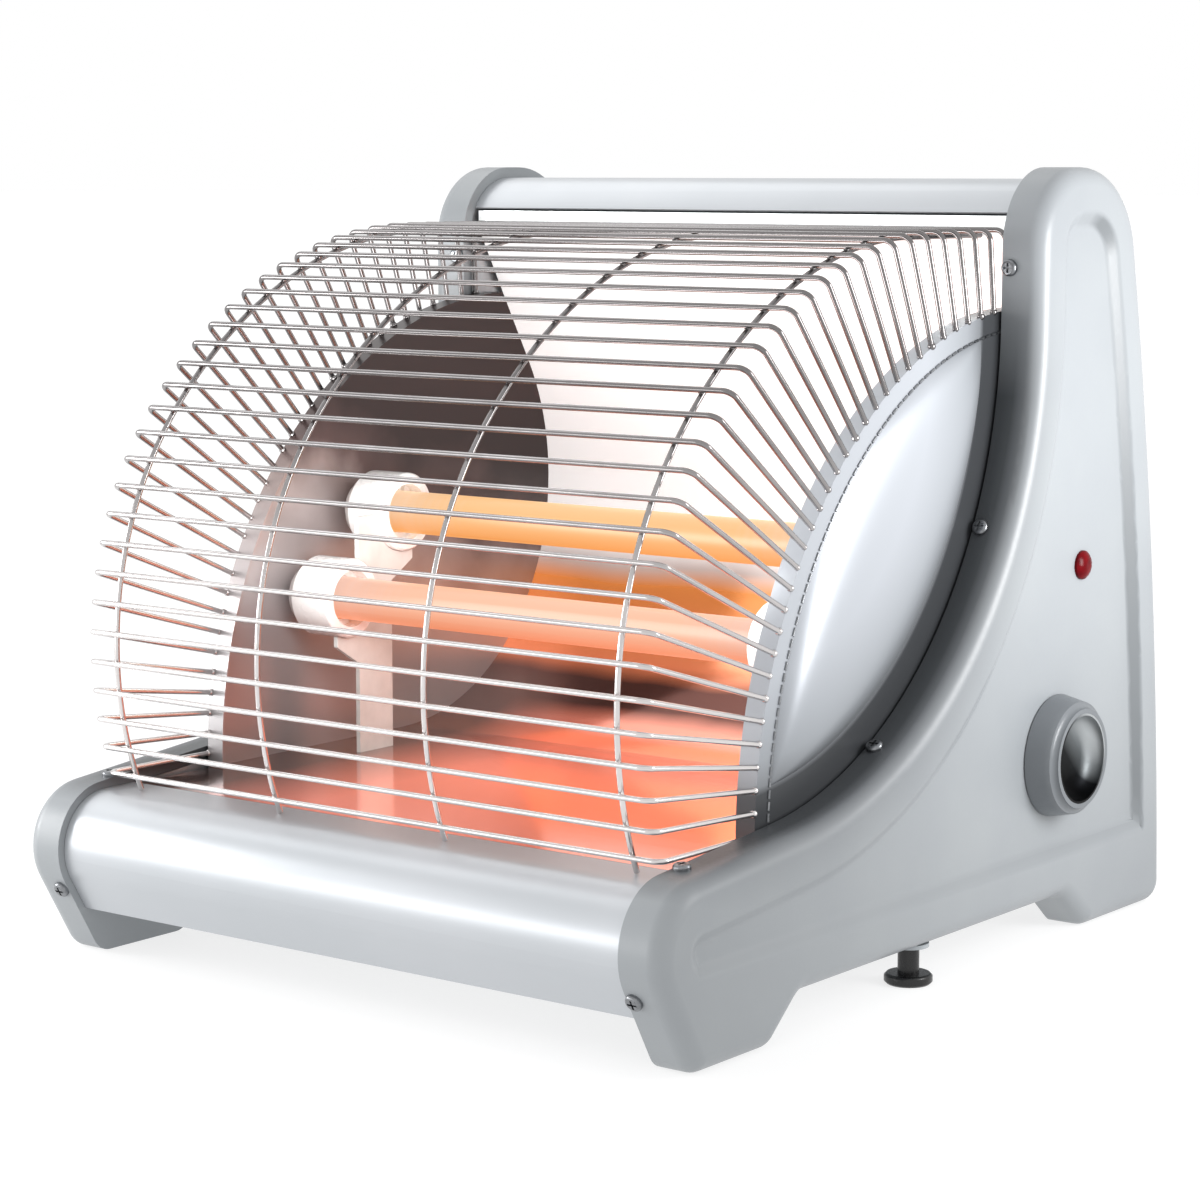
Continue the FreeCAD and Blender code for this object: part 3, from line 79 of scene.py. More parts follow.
def applyModifiers(piece):
    graph = bpy.context.evaluated_depsgraph_get()
    piece.data = bpy.data.meshes.new_from_object(piece.evaluated_get(graph))
    piece.modifiers.clear()


# Nodes and materials

def linear(hexText):
    parts = [int(hexText[i:i + 2], 16) / 255 for i in (1, 3, 5)]
    return tuple(c / 12.92 if c <= 0.04045 else ((c + 0.055) / 1.055) ** 2.4 for c in parts) + (1.0,)


def addNode(tree, kind, inputs=None, stops=(), **settings):
    node = tree.nodes.new(kind)
    for name, value in settings.items():
        setattr(node, name, value)
    for key, value in (inputs or {}).items():
        if isinstance(value, bpy.types.NodeSocket):
            tree.links.new(value, node.inputs[key])
        else:
            node.inputs[key].default_value = value
    for number, (spot, colour) in enumerate(stops):  # stops of a colour ramp, in rising order
        elements = node.color_ramp.elements
        element = elements[number] if number < 2 else elements.new(spot)
        element.position, element.color = spot, linear(colour)
    return node


def newMaterial(name, **sockets):
    material = bpy.data.materials.new(name)
    material.use_nodes = True
    tree = material.node_tree
    tree.nodes.clear()
    values = {key.replace("_", " "): value for key, value in sockets.items()}
    shader = addNode(tree, "ShaderNodeBsdfPrincipled", values)
    addNode(tree, "ShaderNodeOutputMaterial", {"Surface": shader.outputs[0]})
    where = addNode(tree, "ShaderNodeTexCoord").outputs["Object"]
    return material, tree, shader, where


def feed(tree, shader, links):
    for socket, value in links.items():
        tree.links.new(value, shader.inputs[socket])


# Plain finish: two close tones in soft clouds, and a finer grain that varies the gloss and tilts the surface
def surface(name, dark, light, cloudMm, rough, grainMm, depthMm=0, **sockets):
    material, tree, shader, where = newMaterial(name, **sockets)
    cloud = addNode(tree, "ShaderNodeTexNoise",
                    {"Vector": where, "Scale": 1 / (cloudMm * mm), "Detail": 3}).outputs[0]
    colour = addNode(tree, "ShaderNodeValToRGB", {"Fac": cloud},
                     stops=[(noiseLow, dark), (noiseHigh, light)]).outputs[0]
    grain = addNode(tree, "ShaderNodeTexNoise",
                    {"Vector": where, "Scale": 1 / (grainMm * mm), "Detail": 3}).outputs[0]
    gloss = addNode(tree, "ShaderNodeMapRange",
                    {0: grain, 1: noiseLow, 2: noiseHigh, 3: rough[0], 4: rough[1]}).outputs[0]
    feed(tree, shader, {"Base Color": colour, "Roughness": gloss})
    if depthMm:
        tilt = addNode(tree, "ShaderNodeBump", {"Height": grain, "Distance": depthMm * mm}).outputs[0]
        feed(tree, shader, {"Normal": tilt})
    return material


# Pressed aluminium: white-silver and satin outside, with painted shade beside the panel's edge, and on the left
# disc brown on the rim and on the face towards the rods
discLook = {
    "silver": "#b3aba8",
    "sweep": panelSweep, "shadeFrom": 118.0, "shadeTo": 157.5,  # mm from the middle of the panel's hollow edge
    # painted shade: the greys darken towards the panel's edge
    "shadedGreys": [(0.0, "#abafb5"), (0.7, "#94989d"), (0.93, "#7c7f83"), (1.0, "#3c3e41")],
    "low": 60, "high": 250, "tilt": 0.35,  # the browns rise with height and towards the rear
    "browns": [(0.2, "#a8a5a6"), (0.52, "#b4aaa9"), (0.68, "#8c7c78"), (0.76, "#4f3d3b"), (0.88, "#2a1f1e")],
    "stainMm": 45, "stains": 0.3,
    "inwardFrom": (0.7, -0.5),  # how far a face looks inwards to count as inside: right disc, left disc
    "rough": (0.34, 0.3), "metal": (0.3, 0.45),  # outside, inside
    "grainMm": 1.6, "grainDepth": 0.008,
}


def pressedDisc(name, look):
    material, tree, shader, where = newMaterial(name)
    spot = addNode(tree, "ShaderNodeSeparateXYZ", {0: where}).outputs
    normal = addNode(tree, "ShaderNodeNewGeometry").outputs["True Normal"]
    across = addNode(tree, "ShaderNodeSeparateXYZ", {0: normal}).outputs["X"]
    isLeft = addNode(tree, "ShaderNodeMath", {0: spot["X"], 1: datum.x}, operation="LESS_THAN").outputs[0]
    sign = addNode(tree, "ShaderNodeMapRange", {0: isLeft, 3: -1.0, 4: 1.0}).outputs[0]
    inward = addNode(tree, "ShaderNodeMath", {0: across, 1: sign}, operation="MULTIPLY").outputs[0]
    right, left = look["inwardFrom"]
    limit = addNode(tree, "ShaderNodeMapRange", {0: isLeft, 3: right, 4: left}).outputs[0]
    inside = addNode(tree, "ShaderNodeMath", {0: inward, 1: limit}, operation="GREATER_THAN").outputs[0]
    # browns of the left disc
    stain = addNode(tree, "ShaderNodeTexNoise",
                    {"Vector": where, "Scale": 1 / (look["stainMm"] * mm), "Detail": 4}).outputs[0]
    tilted = addNode(tree, "ShaderNodeMath", {0: spot["Y"], 1: look["tilt"], 2: spot["Z"]},
                     operation="MULTIPLY_ADD").outputs[0]
    height = addNode(tree, "ShaderNodeMapRange",
                     {0: tilted, 1: look["low"] * mm, 2: look["high"] * mm}).outputs[0]
    level = addNode(tree, "ShaderNodeMath", {0: stain, 1: look["stains"], 2: height},
                    operation="MULTIPLY_ADD").outputs[0]
    brown = addNode(tree, "ShaderNodeValToRGB", {"Fac": level}, stops=look["browns"]).outputs[0]
    # painted shade on the outside, by the distance from the middle of the panel's hollow edge
    flatWhere = addNode(tree, "ShaderNodeMapping", {"Vector": where, "Scale": (0, 1, 1)}).outputs[0]
    sweep = place(0, *look["sweep"])
    reach = addNode(tree, "ShaderNodeVectorMath", {0: flatWhere, 1: (0, sweep.y, sweep.z)},
                    operation="DISTANCE").outputs["Value"]
    shade = addNode(tree, "ShaderNodeMapRange",
                    {0: reach, 1: look["shadeFrom"] * mm, 2: look["shadeTo"] * mm}).outputs[0]
    pale = addNode(tree, "ShaderNodeValToRGB", {"Fac": shade}, stops=look["shadedGreys"]).outputs[0]
    inner = addNode(tree, "ShaderNodeMix", {0: isLeft, 6: linear(look["silver"]), 7: brown},
                    data_type="RGBA").outputs[2]
    colour = addNode(tree, "ShaderNodeMix", {0: inside, 6: pale, 7: inner}, data_type="RGBA").outputs[2]
    gloss = addNode(tree, "ShaderNodeMapRange", {0: inside, 3: look["rough"][0], 4: look["rough"][1]}).outputs[0]
    metal = addNode(tree, "ShaderNodeMapRange", {0: inside, 3: look["metal"][0], 4: look["metal"][1]}).outputs[0]
    grain = addNode(tree, "ShaderNodeTexNoise",
                    {"Vector": where, "Scale": 1 / (look["grainMm"] * mm), "Detail": 3}).outputs[0]
    tilt = addNode(tree, "ShaderNodeBump", {"Height": grain, "Distance": look["grainDepth"] * mm}).outputs[0]
    feed(tree, shader, {"Base Color": colour, "Roughness": gloss, "Metallic": metal, "Normal": tilt})
    return material


# Silver-grey ABS from a lightly eroded tool: satin with an even grain, real 0.2 mm and drawn coarser to show,
# with painted shade along the hollow front edge and on the front of the step round the field
panelLook = {
    "greys": [(0.3, "#8c9094"), (0.7, "#929699")], "cloudMm": 60,
    # the edge colour is painted shade along the hollow front edge
    "edge": "#3d4043", "sweep": panelSweep, "fadeFrom": 175.0, "fadeTo": 190.0,  # mm from the hollow's middle
    "outer": 153.0, "inner": 139.0,  # the edge's shade grows inwards, from the middle of the heater
    "top": 262.0, "full": 212.0,  # and downwards
    # the step colour is painted shade on the front of the step round the field
    "step": "#6c7073", "centre": (215.0, 110.0), "face": 146.5,  # middle of the field, start of the outer face
    "lean": (0.04, 0.4), "front": (0.04, -0.2),  # how far the step leans to the middle, and faces the front
    "grainMm": 1.2, "grainDepth": 0.006, "rough": (0.36, 0.42),
}


def mouldedPanel(name, look):
    material, tree, shader, where = newMaterial(name, IOR=1.53)
    cloud = addNode(tree, "ShaderNodeTexNoise",
                    {"Vector": where, "Scale": 1 / (look["cloudMm"] * mm), "Detail": 3}).outputs[0]
    plain = addNode(tree, "ShaderNodeValToRGB", {"Fac": cloud}, stops=look["greys"]).outputs[0]
    # painted shade along the hollow front edge
    spot = addNode(tree, "ShaderNodeSeparateXYZ", {0: where}).outputs
    centred = addNode(tree, "ShaderNodeMath", {0: spot["X"], 1: datum.x}, operation="SUBTRACT").outputs[0]
    away = addNode(tree, "ShaderNodeMath", {0: centred}, operation="ABSOLUTE").outputs[0]
    inward = addNode(tree, "ShaderNodeMapRange",
                     {0: away, 1: look["outer"] * mm, 2: look["inner"] * mm}).outputs[0]
    flatWhere = addNode(tree, "ShaderNodeMapping", {"Vector": where, "Scale": (0, 1, 1)}).outputs[0]
    sweep = place(0, *look["sweep"])
    reach = addNode(tree, "ShaderNodeVectorMath", {0: flatWhere, 1: (0, sweep.y, sweep.z)},
                    operation="DISTANCE").outputs["Value"]
    hollow = addNode(tree, "ShaderNodeMapRange",
                     {0: reach, 1: look["fadeTo"] * mm, 2: look["fadeFrom"] * mm}).outputs[0]
    below = addNode(tree, "ShaderNodeMapRange",
                    {0: spot["Z"], 1: look["top"] * mm, 2: look["full"] * mm}).outputs[0]
    both = addNode(tree, "ShaderNodeMath", {0: hollow, 1: below}, operation="MULTIPLY").outputs[0]
    edge = addNode(tree, "ShaderNodeMath", {0: both, 1: inward}, operation="MULTIPLY").outputs[0]
    edgeShaded = addNode(tree, "ShaderNodeMix", {0: edge, 6: plain, 7: linear(look["edge"])},
                    data_type="RGBA").outputs[2]
    # painted shade on the front of the step
    centre = place(0, *look["centre"])
    homeward = addNode(tree, "ShaderNodeVectorMath", {0: (0, centre.y, centre.z), 1: flatWhere},
                       operation="SUBTRACT").outputs[0]
    toward = addNode(tree, "ShaderNodeVectorMath", {0: homeward}, operation="NORMALIZE").outputs[0]
    normal = addNode(tree, "ShaderNodeNewGeometry").outputs["Normal"]
    lean = addNode(tree, "ShaderNodeVectorMath", {0: toward, 1: normal}, operation="DOT_PRODUCT").outputs["Value"]
    sloped = addNode(tree, "ShaderNodeMapRange", {0: lean, 1: look["lean"][0], 2: look["lean"][1]}).outputs[0]
    onFace = addNode(tree, "ShaderNodeMath", {0: away, 1: look["face"] * mm}, operation="GREATER_THAN").outputs[0]
    rearward = addNode(tree, "ShaderNodeSeparateXYZ", {0: normal}).outputs["Y"]
    front = addNode(tree, "ShaderNodeMapRange", {0: rearward, 1: look["front"][0], 2: look["front"][1]}).outputs[0]
    step = addNode(tree, "ShaderNodeMath", {0: sloped, 1: onFace}, operation="MULTIPLY").outputs[0]
    frontStepShade = addNode(tree, "ShaderNodeMath", {0: step, 1: front}, operation="MULTIPLY").outputs[0]
    colour = addNode(tree, "ShaderNodeMix", {0: frontStepShade, 6: edgeShaded, 7: linear(look["step"])},
                     data_type="RGBA").outputs[2]
    grain = addNode(tree, "ShaderNodeTexNoise",
                    {"Vector": where, "Scale": 1 / (look["grainMm"] * mm), "Detail": 3}).outputs[0]
    gloss = addNode(tree, "ShaderNodeMapRange",
                    {0: grain, 1: noiseLow, 2: noiseHigh, 3: look["rough"][0], 4: look["rough"][1]}).outputs[0]
    tilt = addNode(tree, "ShaderNodeBump", {"Height": grain, "Distance": look["grainDepth"] * mm}).outputs[0]
    feed(tree, shader, {"Base Color": colour, "Roughness": gloss, "Normal": tilt})
    return material


# Bright-rolled aluminium: a soft mirror streaked along the rolling direction, white above, with a painted
# reflection and a painted glow of the rods below
mirrorLook = {
    "axis": (175.0, 163.0), "back": "#b9bbbc",  # faces that look to the axis are inside
    "low": 60, "high": 160, "waveMm": 60, "waveDepth": 6,  # the tints rise with height, in slow waves
    # painted reflection of the rods: orange and brown bands that rise with height
    "reflectionTints": [(0.0, "#fcbcae"), (0.12, "#fbb6a2"), (0.17, "#7c544c"), (0.25, "#7c544c"), (0.32, "#f6a684"),
              (0.62, "#f6ab6c"), (0.7, "#e9dcd6"), (0.8, "#f2f8f9")],
    # painted glow of the rods, sent out by the sheet itself
    "paintedGlows": [(0.0, "#ee7058"), (0.12, "#ee7054"), (0.17, "#200c08"), (0.25, "#200c08"), (0.32, "#ff8048"),
              (0.62, "#ff9040"), (0.7, "#9a9592"), (0.8, "#ffffff")], "glow": 0.42,
    # painted shadow: the dark corner low on the left
    "unlit": "#8d7671", "lit": (-105.0, -50.0), "litLevels": (0.2, 0.32),  # dark corner low on the left
    "wallLevels": (0.6, 0.8), "rough": (0.1, 0.12), "metal": (0.8, 0.2),  # below the wall, on the wall
    "streakMm": 2.5, "streakPull": 0.03, "streaks": 0.06,
}


def troughMirror(name, look):
    material, tree, shader, where = newMaterial(name, Emission_Strength=look["glow"])
    spot = addNode(tree, "ShaderNodeSeparateXYZ", {0: where}).outputs
    wave = addNode(tree, "ShaderNodeTexNoise",
                   {"Vector": where, "Scale": 1 / (look["waveMm"] * mm), "Detail": 2}).outputs[0]
    height = addNode(tree, "ShaderNodeMath", {0: wave, 1: look["waveDepth"] * mm, 2: spot["Z"]},
                     operation="MULTIPLY_ADD").outputs[0]
    level = addNode(tree, "ShaderNodeMapRange",
                    {0: height, 1: look["low"] * mm, 2: look["high"] * mm}).outputs[0]
    # painted reflection and painted glow of the rods, by height
    reflectionTint = addNode(tree, "ShaderNodeValToRGB", {"Fac": level}, stops=look["reflectionTints"]).outputs[0]
    glow = addNode(tree, "ShaderNodeValToRGB", {"Fac": level}, stops=look["paintedGlows"]).outputs[0]
    axis = place(0, *look["axis"])
    flatWhere = addNode(tree, "ShaderNodeMapping", {"Vector": where, "Scale": (0, 1, 1)}).outputs[0]
    inward = addNode(tree, "ShaderNodeVectorMath", {0: (0, axis.y, axis.z), 1: flatWhere},
                     operation="SUBTRACT").outputs[0]
    normal = addNode(tree, "ShaderNodeNewGeometry").outputs["True Normal"]
    facing = addNode(tree, "ShaderNodeVectorMath", {0: inward, 1: normal}, operation="DOT_PRODUCT").outputs["Value"]
    inside = addNode(tree, "ShaderNodeMath", {0: facing, 1: 0.0}, operation="GREATER_THAN").outputs[0]
    start, full = (place(x, 0, 0).x for x in look["lit"])
    along = addNode(tree, "ShaderNodeMapRange", {0: spot["X"], 1: start, 2: full}).outputs[0]
    lowLit, highLit = look["litLevels"]
    lit = addNode(tree, "ShaderNodeMapRange", {0: level, 1: lowLit, 2: highLit, 3: along, 4: 1.0}).outputs[0]
    litReflectionTint = addNode(tree, "ShaderNodeMix", {0: lit, 6: linear(look["unlit"]), 7: reflectionTint},
                      data_type="RGBA").outputs[2]
    colour = addNode(tree, "ShaderNodeMix", {0: inside, 6: linear(look["back"]), 7: litReflectionTint},
                     data_type="RGBA").outputs[2]
    # the painted glow is kept off the outside and off the painted shadow in the corner
    paintedGlowMask = addNode(tree, "ShaderNodeMath", {0: inside, 1: lit}, operation="MULTIPLY").outputs[0]
    shown = addNode(tree, "ShaderNodeMix", {0: paintedGlowMask, 6: (0, 0, 0, 1), 7: glow}, data_type="RGBA").outputs[2]
    pulled = addNode(tree, "ShaderNodeMapping", {"Vector": where, "Scale": (look["streakPull"], 1, 1)}).outputs[0]
    streak = addNode(tree, "ShaderNodeTexNoise",
                     {"Vector": pulled, "Scale": 1 / (look["streakMm"] * mm), "Detail": 3}).outputs[0]
    foot, top = look["wallLevels"]
    soft = addNode(tree, "ShaderNodeMapRange",
                   {0: level, 1: foot, 2: top, 3: look["rough"][0], 4: look["rough"][1]}).outputs[0]
    gloss = addNode(tree, "ShaderNodeMath", {0: streak, 1: look["streaks"], 2: soft},
                    operation="MULTIPLY_ADD").outputs[0]
    metal = addNode(tree, "ShaderNodeMapRange",
                    {0: level, 1: foot, 2: top, 3: look["metal"][0], 4: look["metal"][1]}).outputs[0]
    feed(tree, shader, {"Base Color": colour, "Roughness": gloss, "Metallic": metal, "Emission Color": shown})
    return material


# Glowing quartz tube: the surface sends out its own light, cooler by the holders, faintly banded by the winding,
# and painted a deeper orange on the underside as shade
tubeLook = {
    "upper": {"cool": "#f5cfac", "hot": "#fbc68a", "under": "#f4a258", "strength": 0.97},
    "lower": {"cool": "#f3c8b6", "hot": "#f9c3a4", "under": "#f29067", "strength": 0.95},
    "body": "#2a1208", "coolAt": 104, "hotAt": 55, "hotFrom": 0.85, "underside": (0.25, -0.9),
    "windingMm": 4.2, "bands": 0.12, "waveRun": 0.314,  # a wave of scale 1 repeats every 0.314 m
}


def glowingTube(name, look, tone):
    material, tree, shader, where = newMaterial(name, Roughness=0.35, Specular_IOR_Level=0.3,
                                                Base_Color=linear(look["body"]), Emission_Strength=tone["strength"])
    across = addNode(tree, "ShaderNodeSeparateXYZ", {0: where}).outputs["X"]
    centred = addNode(tree, "ShaderNodeMath", {0: across, 1: datum.x}, operation="SUBTRACT").outputs[0]
    away = addNode(tree, "ShaderNodeMath", {0: centred}, operation="ABSOLUTE").outputs[0]
    along = addNode(tree, "ShaderNodeMapRange",
                    {0: away, 1: look["coolAt"] * mm, 2: look["hotAt"] * mm}).outputs[0]
    winding = addNode(tree, "ShaderNodeTexWave", {"Vector": where, "Distortion": 0.6,
                                                  "Scale": look["waveRun"] / (look["windingMm"] * mm)}).outputs[1]
    level = addNode(tree, "ShaderNodeMath", {0: winding, 1: look["bands"], 2: along},
                    operation="MULTIPLY_ADD").outputs[0]
    glow = addNode(tree, "ShaderNodeValToRGB", {"Fac": level},
                   stops=[(0.0, tone["cool"]), (look["hotFrom"], tone["hot"]), (1.0, tone["hot"])]).outputs[0]
    # painted shade: the glow turns a deeper orange on the underside
    normal = addNode(tree, "ShaderNodeNewGeometry").outputs["Normal"]
    upward = addNode(tree, "ShaderNodeSeparateXYZ", {0: normal}).outputs["Z"]
    side, bottom = look["underside"]
    below = addNode(tree, "ShaderNodeMapRange", {0: upward, 1: side, 2: bottom}).outputs[0]
    shown = addNode(tree, "ShaderNodeMix", {0: below, 6: glow, 7: linear(tone["under"])},
                    data_type="RGBA").outputs[2]
    feed(tree, shader, {"Emission Color": shown})
    return material


# Bright-plated drawn wire: near white and glossy, dulled in patches, and with painted shade that darkens it towards
# the top
wireLook = {
    "low": 120, "high": 250, "patchMm": 20, "patches": 0.35, "rough": (0.14, 0.24),
    "shades": [(0.1, "#dcd8d7"), (0.4, "#c6c2c1"), (0.8, "#8f8c8c"), (1.0, "#7d7a7a")],
}


def platedWire(name, look):
    material, tree, shader, where = newMaterial(name, Metallic=1.0)
    height = addNode(tree, "ShaderNodeSeparateXYZ", {0: where}).outputs["Z"]
    patch = addNode(tree, "ShaderNodeTexNoise",
                    {"Vector": where, "Scale": 1 / (look["patchMm"] * mm), "Detail": 3}).outputs[0]
    # painted shade: the wire darkens with height
    level = addNode(tree, "ShaderNodeMapRange",
                    {0: height, 1: look["low"] * mm, 2: look["high"] * mm}).outputs[0]
    mixed = addNode(tree, "ShaderNodeMath", {0: patch, 1: look["patches"], 2: level},
                    operation="MULTIPLY_ADD").outputs[0]
    colour = addNode(tree, "ShaderNodeValToRGB", {"Fac": mixed}, stops=look["shades"]).outputs[0]
    gloss = addNode(tree, "ShaderNodeMapRange",
                    {0: patch, 1: noiseLow, 2: noiseHigh, 3: look["rough"][0], 4: look["rough"][1]}).outputs[0]
    feed(tree, shader, {"Base Color": colour, "Roughness": gloss})
    return material


# Satin chrome in the knob's dish with painted shade and painted reflection: black at its lower front and pale at
# its upper rear
dishLook = {
    "centre": (240.0, 72.5), "reach": 17.5, "rearward": (0, 0.72, 0.69), "waveMm": 4, "rough": (0.4, 0.5),
    "shades": [(0.3, "#020203"), (0.5, "#17181a"), (0.7, "#707476"), (0.9, "#b4b8ba")],
}


def darkDish(name, look):
    material, tree, shader, where = newMaterial(name, Metallic=1.0)
    centre = place(0, *look["centre"])
    across = addNode(tree, "ShaderNodeVectorMath", {0: where, 1: (0, centre.y, centre.z)},
                     operation="SUBTRACT").outputs[0]
    along = addNode(tree, "ShaderNodeVectorMath", {0: across, 1: look["rearward"]},
                    operation="DOT_PRODUCT").outputs["Value"]
    level = addNode(tree, "ShaderNodeMapRange",
                    {0: along, 1: -look["reach"] * mm, 2: look["reach"] * mm}).outputs[0]
    colour = addNode(tree, "ShaderNodeValToRGB", {"Fac": level}, stops=look["shades"]).outputs[0]
    wave = addNode(tree, "ShaderNodeTexNoise",
                   {"Vector": where, "Scale": 1 / (look["waveMm"] * mm), "Detail": 2}).outputs[0]
    gloss = addNode(tree, "ShaderNodeMapRange", {0: wave, 3: look["rough"][0], 4: look["rough"][1]}).outputs[0]
    feed(tree, shader, {"Base Color": colour, "Roughness": gloss})
    return material


finishes = {
    "panel_plastic": mouldedPanel("mouldedSilverAbs", panelLook),
    # silver stoving enamel on rolled sheet: metallic sheen under a soft orange peel
    "shell_metal": surface("silverStovingEnamel", "#b6babe", "#bdc0c4", cloudMm=120, rough=(0.34, 0.36), grainMm=14,
                           Metallic=0.5),
    # zinc-coated sheet: dull grey with a faint spangle
    "inner_metal": surface("zincCoatedSheet", "#a2a6a9", "#b0b4b7", cloudMm=5, rough=(0.36, 0.5), grainMm=3,
                           Metallic=0.7),
    "mirror_metal": troughMirror("brightRolledAluminium", mirrorLook),
    "disc_metal": pressedDisc("pressedAluminium", discLook),
    "guard_wire": platedWire("brightPlatedWire", wireLook),
    "upper_glow": glowingTube("glowingUpperTube", tubeLook, tubeLook["upper"]),
    "lower_glow": glowingTube("glowingLowerTube", tubeLook, tubeLook["lower"]),
    # wound core: dark heated wire
    "rod_core": surface("woundCore", "#6a3a24", "#8a4a2a", cloudMm=6, rough=(0.6, 0.75), grainMm=1.5, depthMm=0.02),
    # glazed porcelain: white, glossy, with slight unevenness under the glaze
    "holder_ceramic": surface("glazedPorcelain", "#e9e6e3", "#f5f3f1", cloudMm=18, rough=(0.2, 0.3), grainMm=5,
                              depthMm=0.02, Coat_Weight=0.4),
    # pale enamel on pressed steel: half-matt
    "bracket_metal": surface("paleEnamelledSteel", "#cfcfcb", "#dbdbd7", cloudMm=9, rough=(0.4, 0.5), grainMm=2.5,
                             depthMm=0.02),
    # zinc-plated steel: bright grey, worn to dark in the slots
    "fixing_steel": surface("zincPlatedSteel", "#77797c", "#919396", cloudMm=1.5, rough=(0.26, 0.38), grainMm=0.8,
                            depthMm=0.01, Metallic=1.0),
    # knob of the same ABS as the panels, a shade darker
    "knob_plastic": surface("knobSilverAbs", "#62666a", "#6a6e72", cloudMm=30, rough=(0.3, 0.4), grainMm=1.2,
                            depthMm=0.006, IOR=1.53),
    # satin chrome with painted shade and painted reflection in the knob's dish
    "knob_chrome": darkDish("paintedShadeChrome", dishLook),
    # red polycarbonate lens: soft gloss over a deep red
    "lamp_red": surface("redPolycarbonate", "#4a0006", "#640109", cloudMm=3, rough=(0.2, 0.26), grainMm=1.5,
                        Specular_IOR_Level=0.1),
    # black nylon: moulded, half-matt
    "switch_plastic": surface("blackNylon", "#141415", "#1d1d1f", cloudMm=6, rough=(0.45, 0.55), grainMm=1.5,
                              depthMm=0.02),
    # black acetal: turned, smooth
    "plunger_plastic": surface("blackAcetal", "#0a0a0b", "#131315", cloudMm=6, rough=(0.25, 0.35), grainMm=1.5,
                               depthMm=0.01),
    # grey acetal: moulded, satin
    "guide_plastic": surface("greyAcetal", "#8f9498", "#a1a6aa", cloudMm=6, rough=(0.36, 0.46), grainMm=1.5,
                             depthMm=0.01),
    # black rubber: matt with a fine bloom
    "gland_rubber": surface("blackRubber", "#101011", "#191919", cloudMm=2, rough=(0.58, 0.68), grainMm=1,
                            depthMm=0.02),
    # woven glass sleeve: off-white, the weave drawn coarser than the real 0.4 mm
    "lead_sleeve": surface("wovenGlassSleeve", "#d3d0c8", "#e2dfd8", cloudMm=1.5, rough=(0.55, 0.65), grainMm=0.9,
                           depthMm=0.03),
}
for name, item in nodes.items():
    item.data.materials.clear()
    item.data.materials.append(finishes[slotOf[name]])
print("materials:", len(finishes))

# Smooth copies of the sheet and moulded pieces
fair = {"merge": 5e-7, "flat": 0.03, "sharp": 32.0, "weight": 80, "discFace": 131.0,
        "pieces": ["right_side_panel", "left_side_panel", "front_panel", "top_cover", "base_pan", "back_panel",
                   "reflector", "right_reflector_end", "left_reflector_end", "upper_rod", "lower_rod",
                   "upper_left_holder", "upper_right_holder", "lower_left_holder", "lower_right_holder",
                   "left_rod_bracket", "right_rod_bracket", "selector_knob", "knob_dish", "pilot_lamp_lens",
                   "tip_plunger", "plunger_guide", "cord_gland"]}


def smoothCopy(name):
    mesh = nodes[name].data.copy()
    form = bmesh.new()
    form.from_mesh(mesh)
    bmesh.ops.remove_doubles(form, verts=form.verts, dist=fair["merge"])
    if name.endswith("reflector_end"):  # the disc ends flat under its dome
        face = fair["discFace"] * mm
        for vert in form.verts:
            if abs(vert.co.x - datum.x) > face:
                vert.co.x = datum.x + math.copysign(face, vert.co.x - datum.x)
    bmesh.ops.dissolve_limit(form, angle_limit=math.radians(fair["flat"]), verts=form.verts,
                             edges=form.edges)  # flat fields in one face
    form.to_mesh(mesh)
    form.free()
    mesh.shade_smooth()
    mesh.set_sharp_from_angle(angle=math.radians(fair["sharp"]))
    piece = newObject(name + "_fair", mesh)
    weights = piece.modifiers.new("weights", "WEIGHTED_NORMAL")
    weights.keep_sharp = True
    weights.weight = fair["weight"]
    applyModifiers(piece)
    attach(piece, nodes[name]["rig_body"])
    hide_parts(name)


for name in fair["pieces"]:
    smoothCopy(name)
print("smooth pieces:", len(fair["pieces"]))

# Pressed dome on the outside of each disc: a lens between the rim's arc and the panel's arc, bulging both ways
dome = {"focus": discFocus, "rim": 169.4, "sweep": panelSweep, "edge": 155.8, "foot": 130.9, "rise": 5.1,
        "steps": 72, "across": 36, "roundAcross": 4, "roundAlong": 6, "merge": 1e-6, "thin": 1e-7}


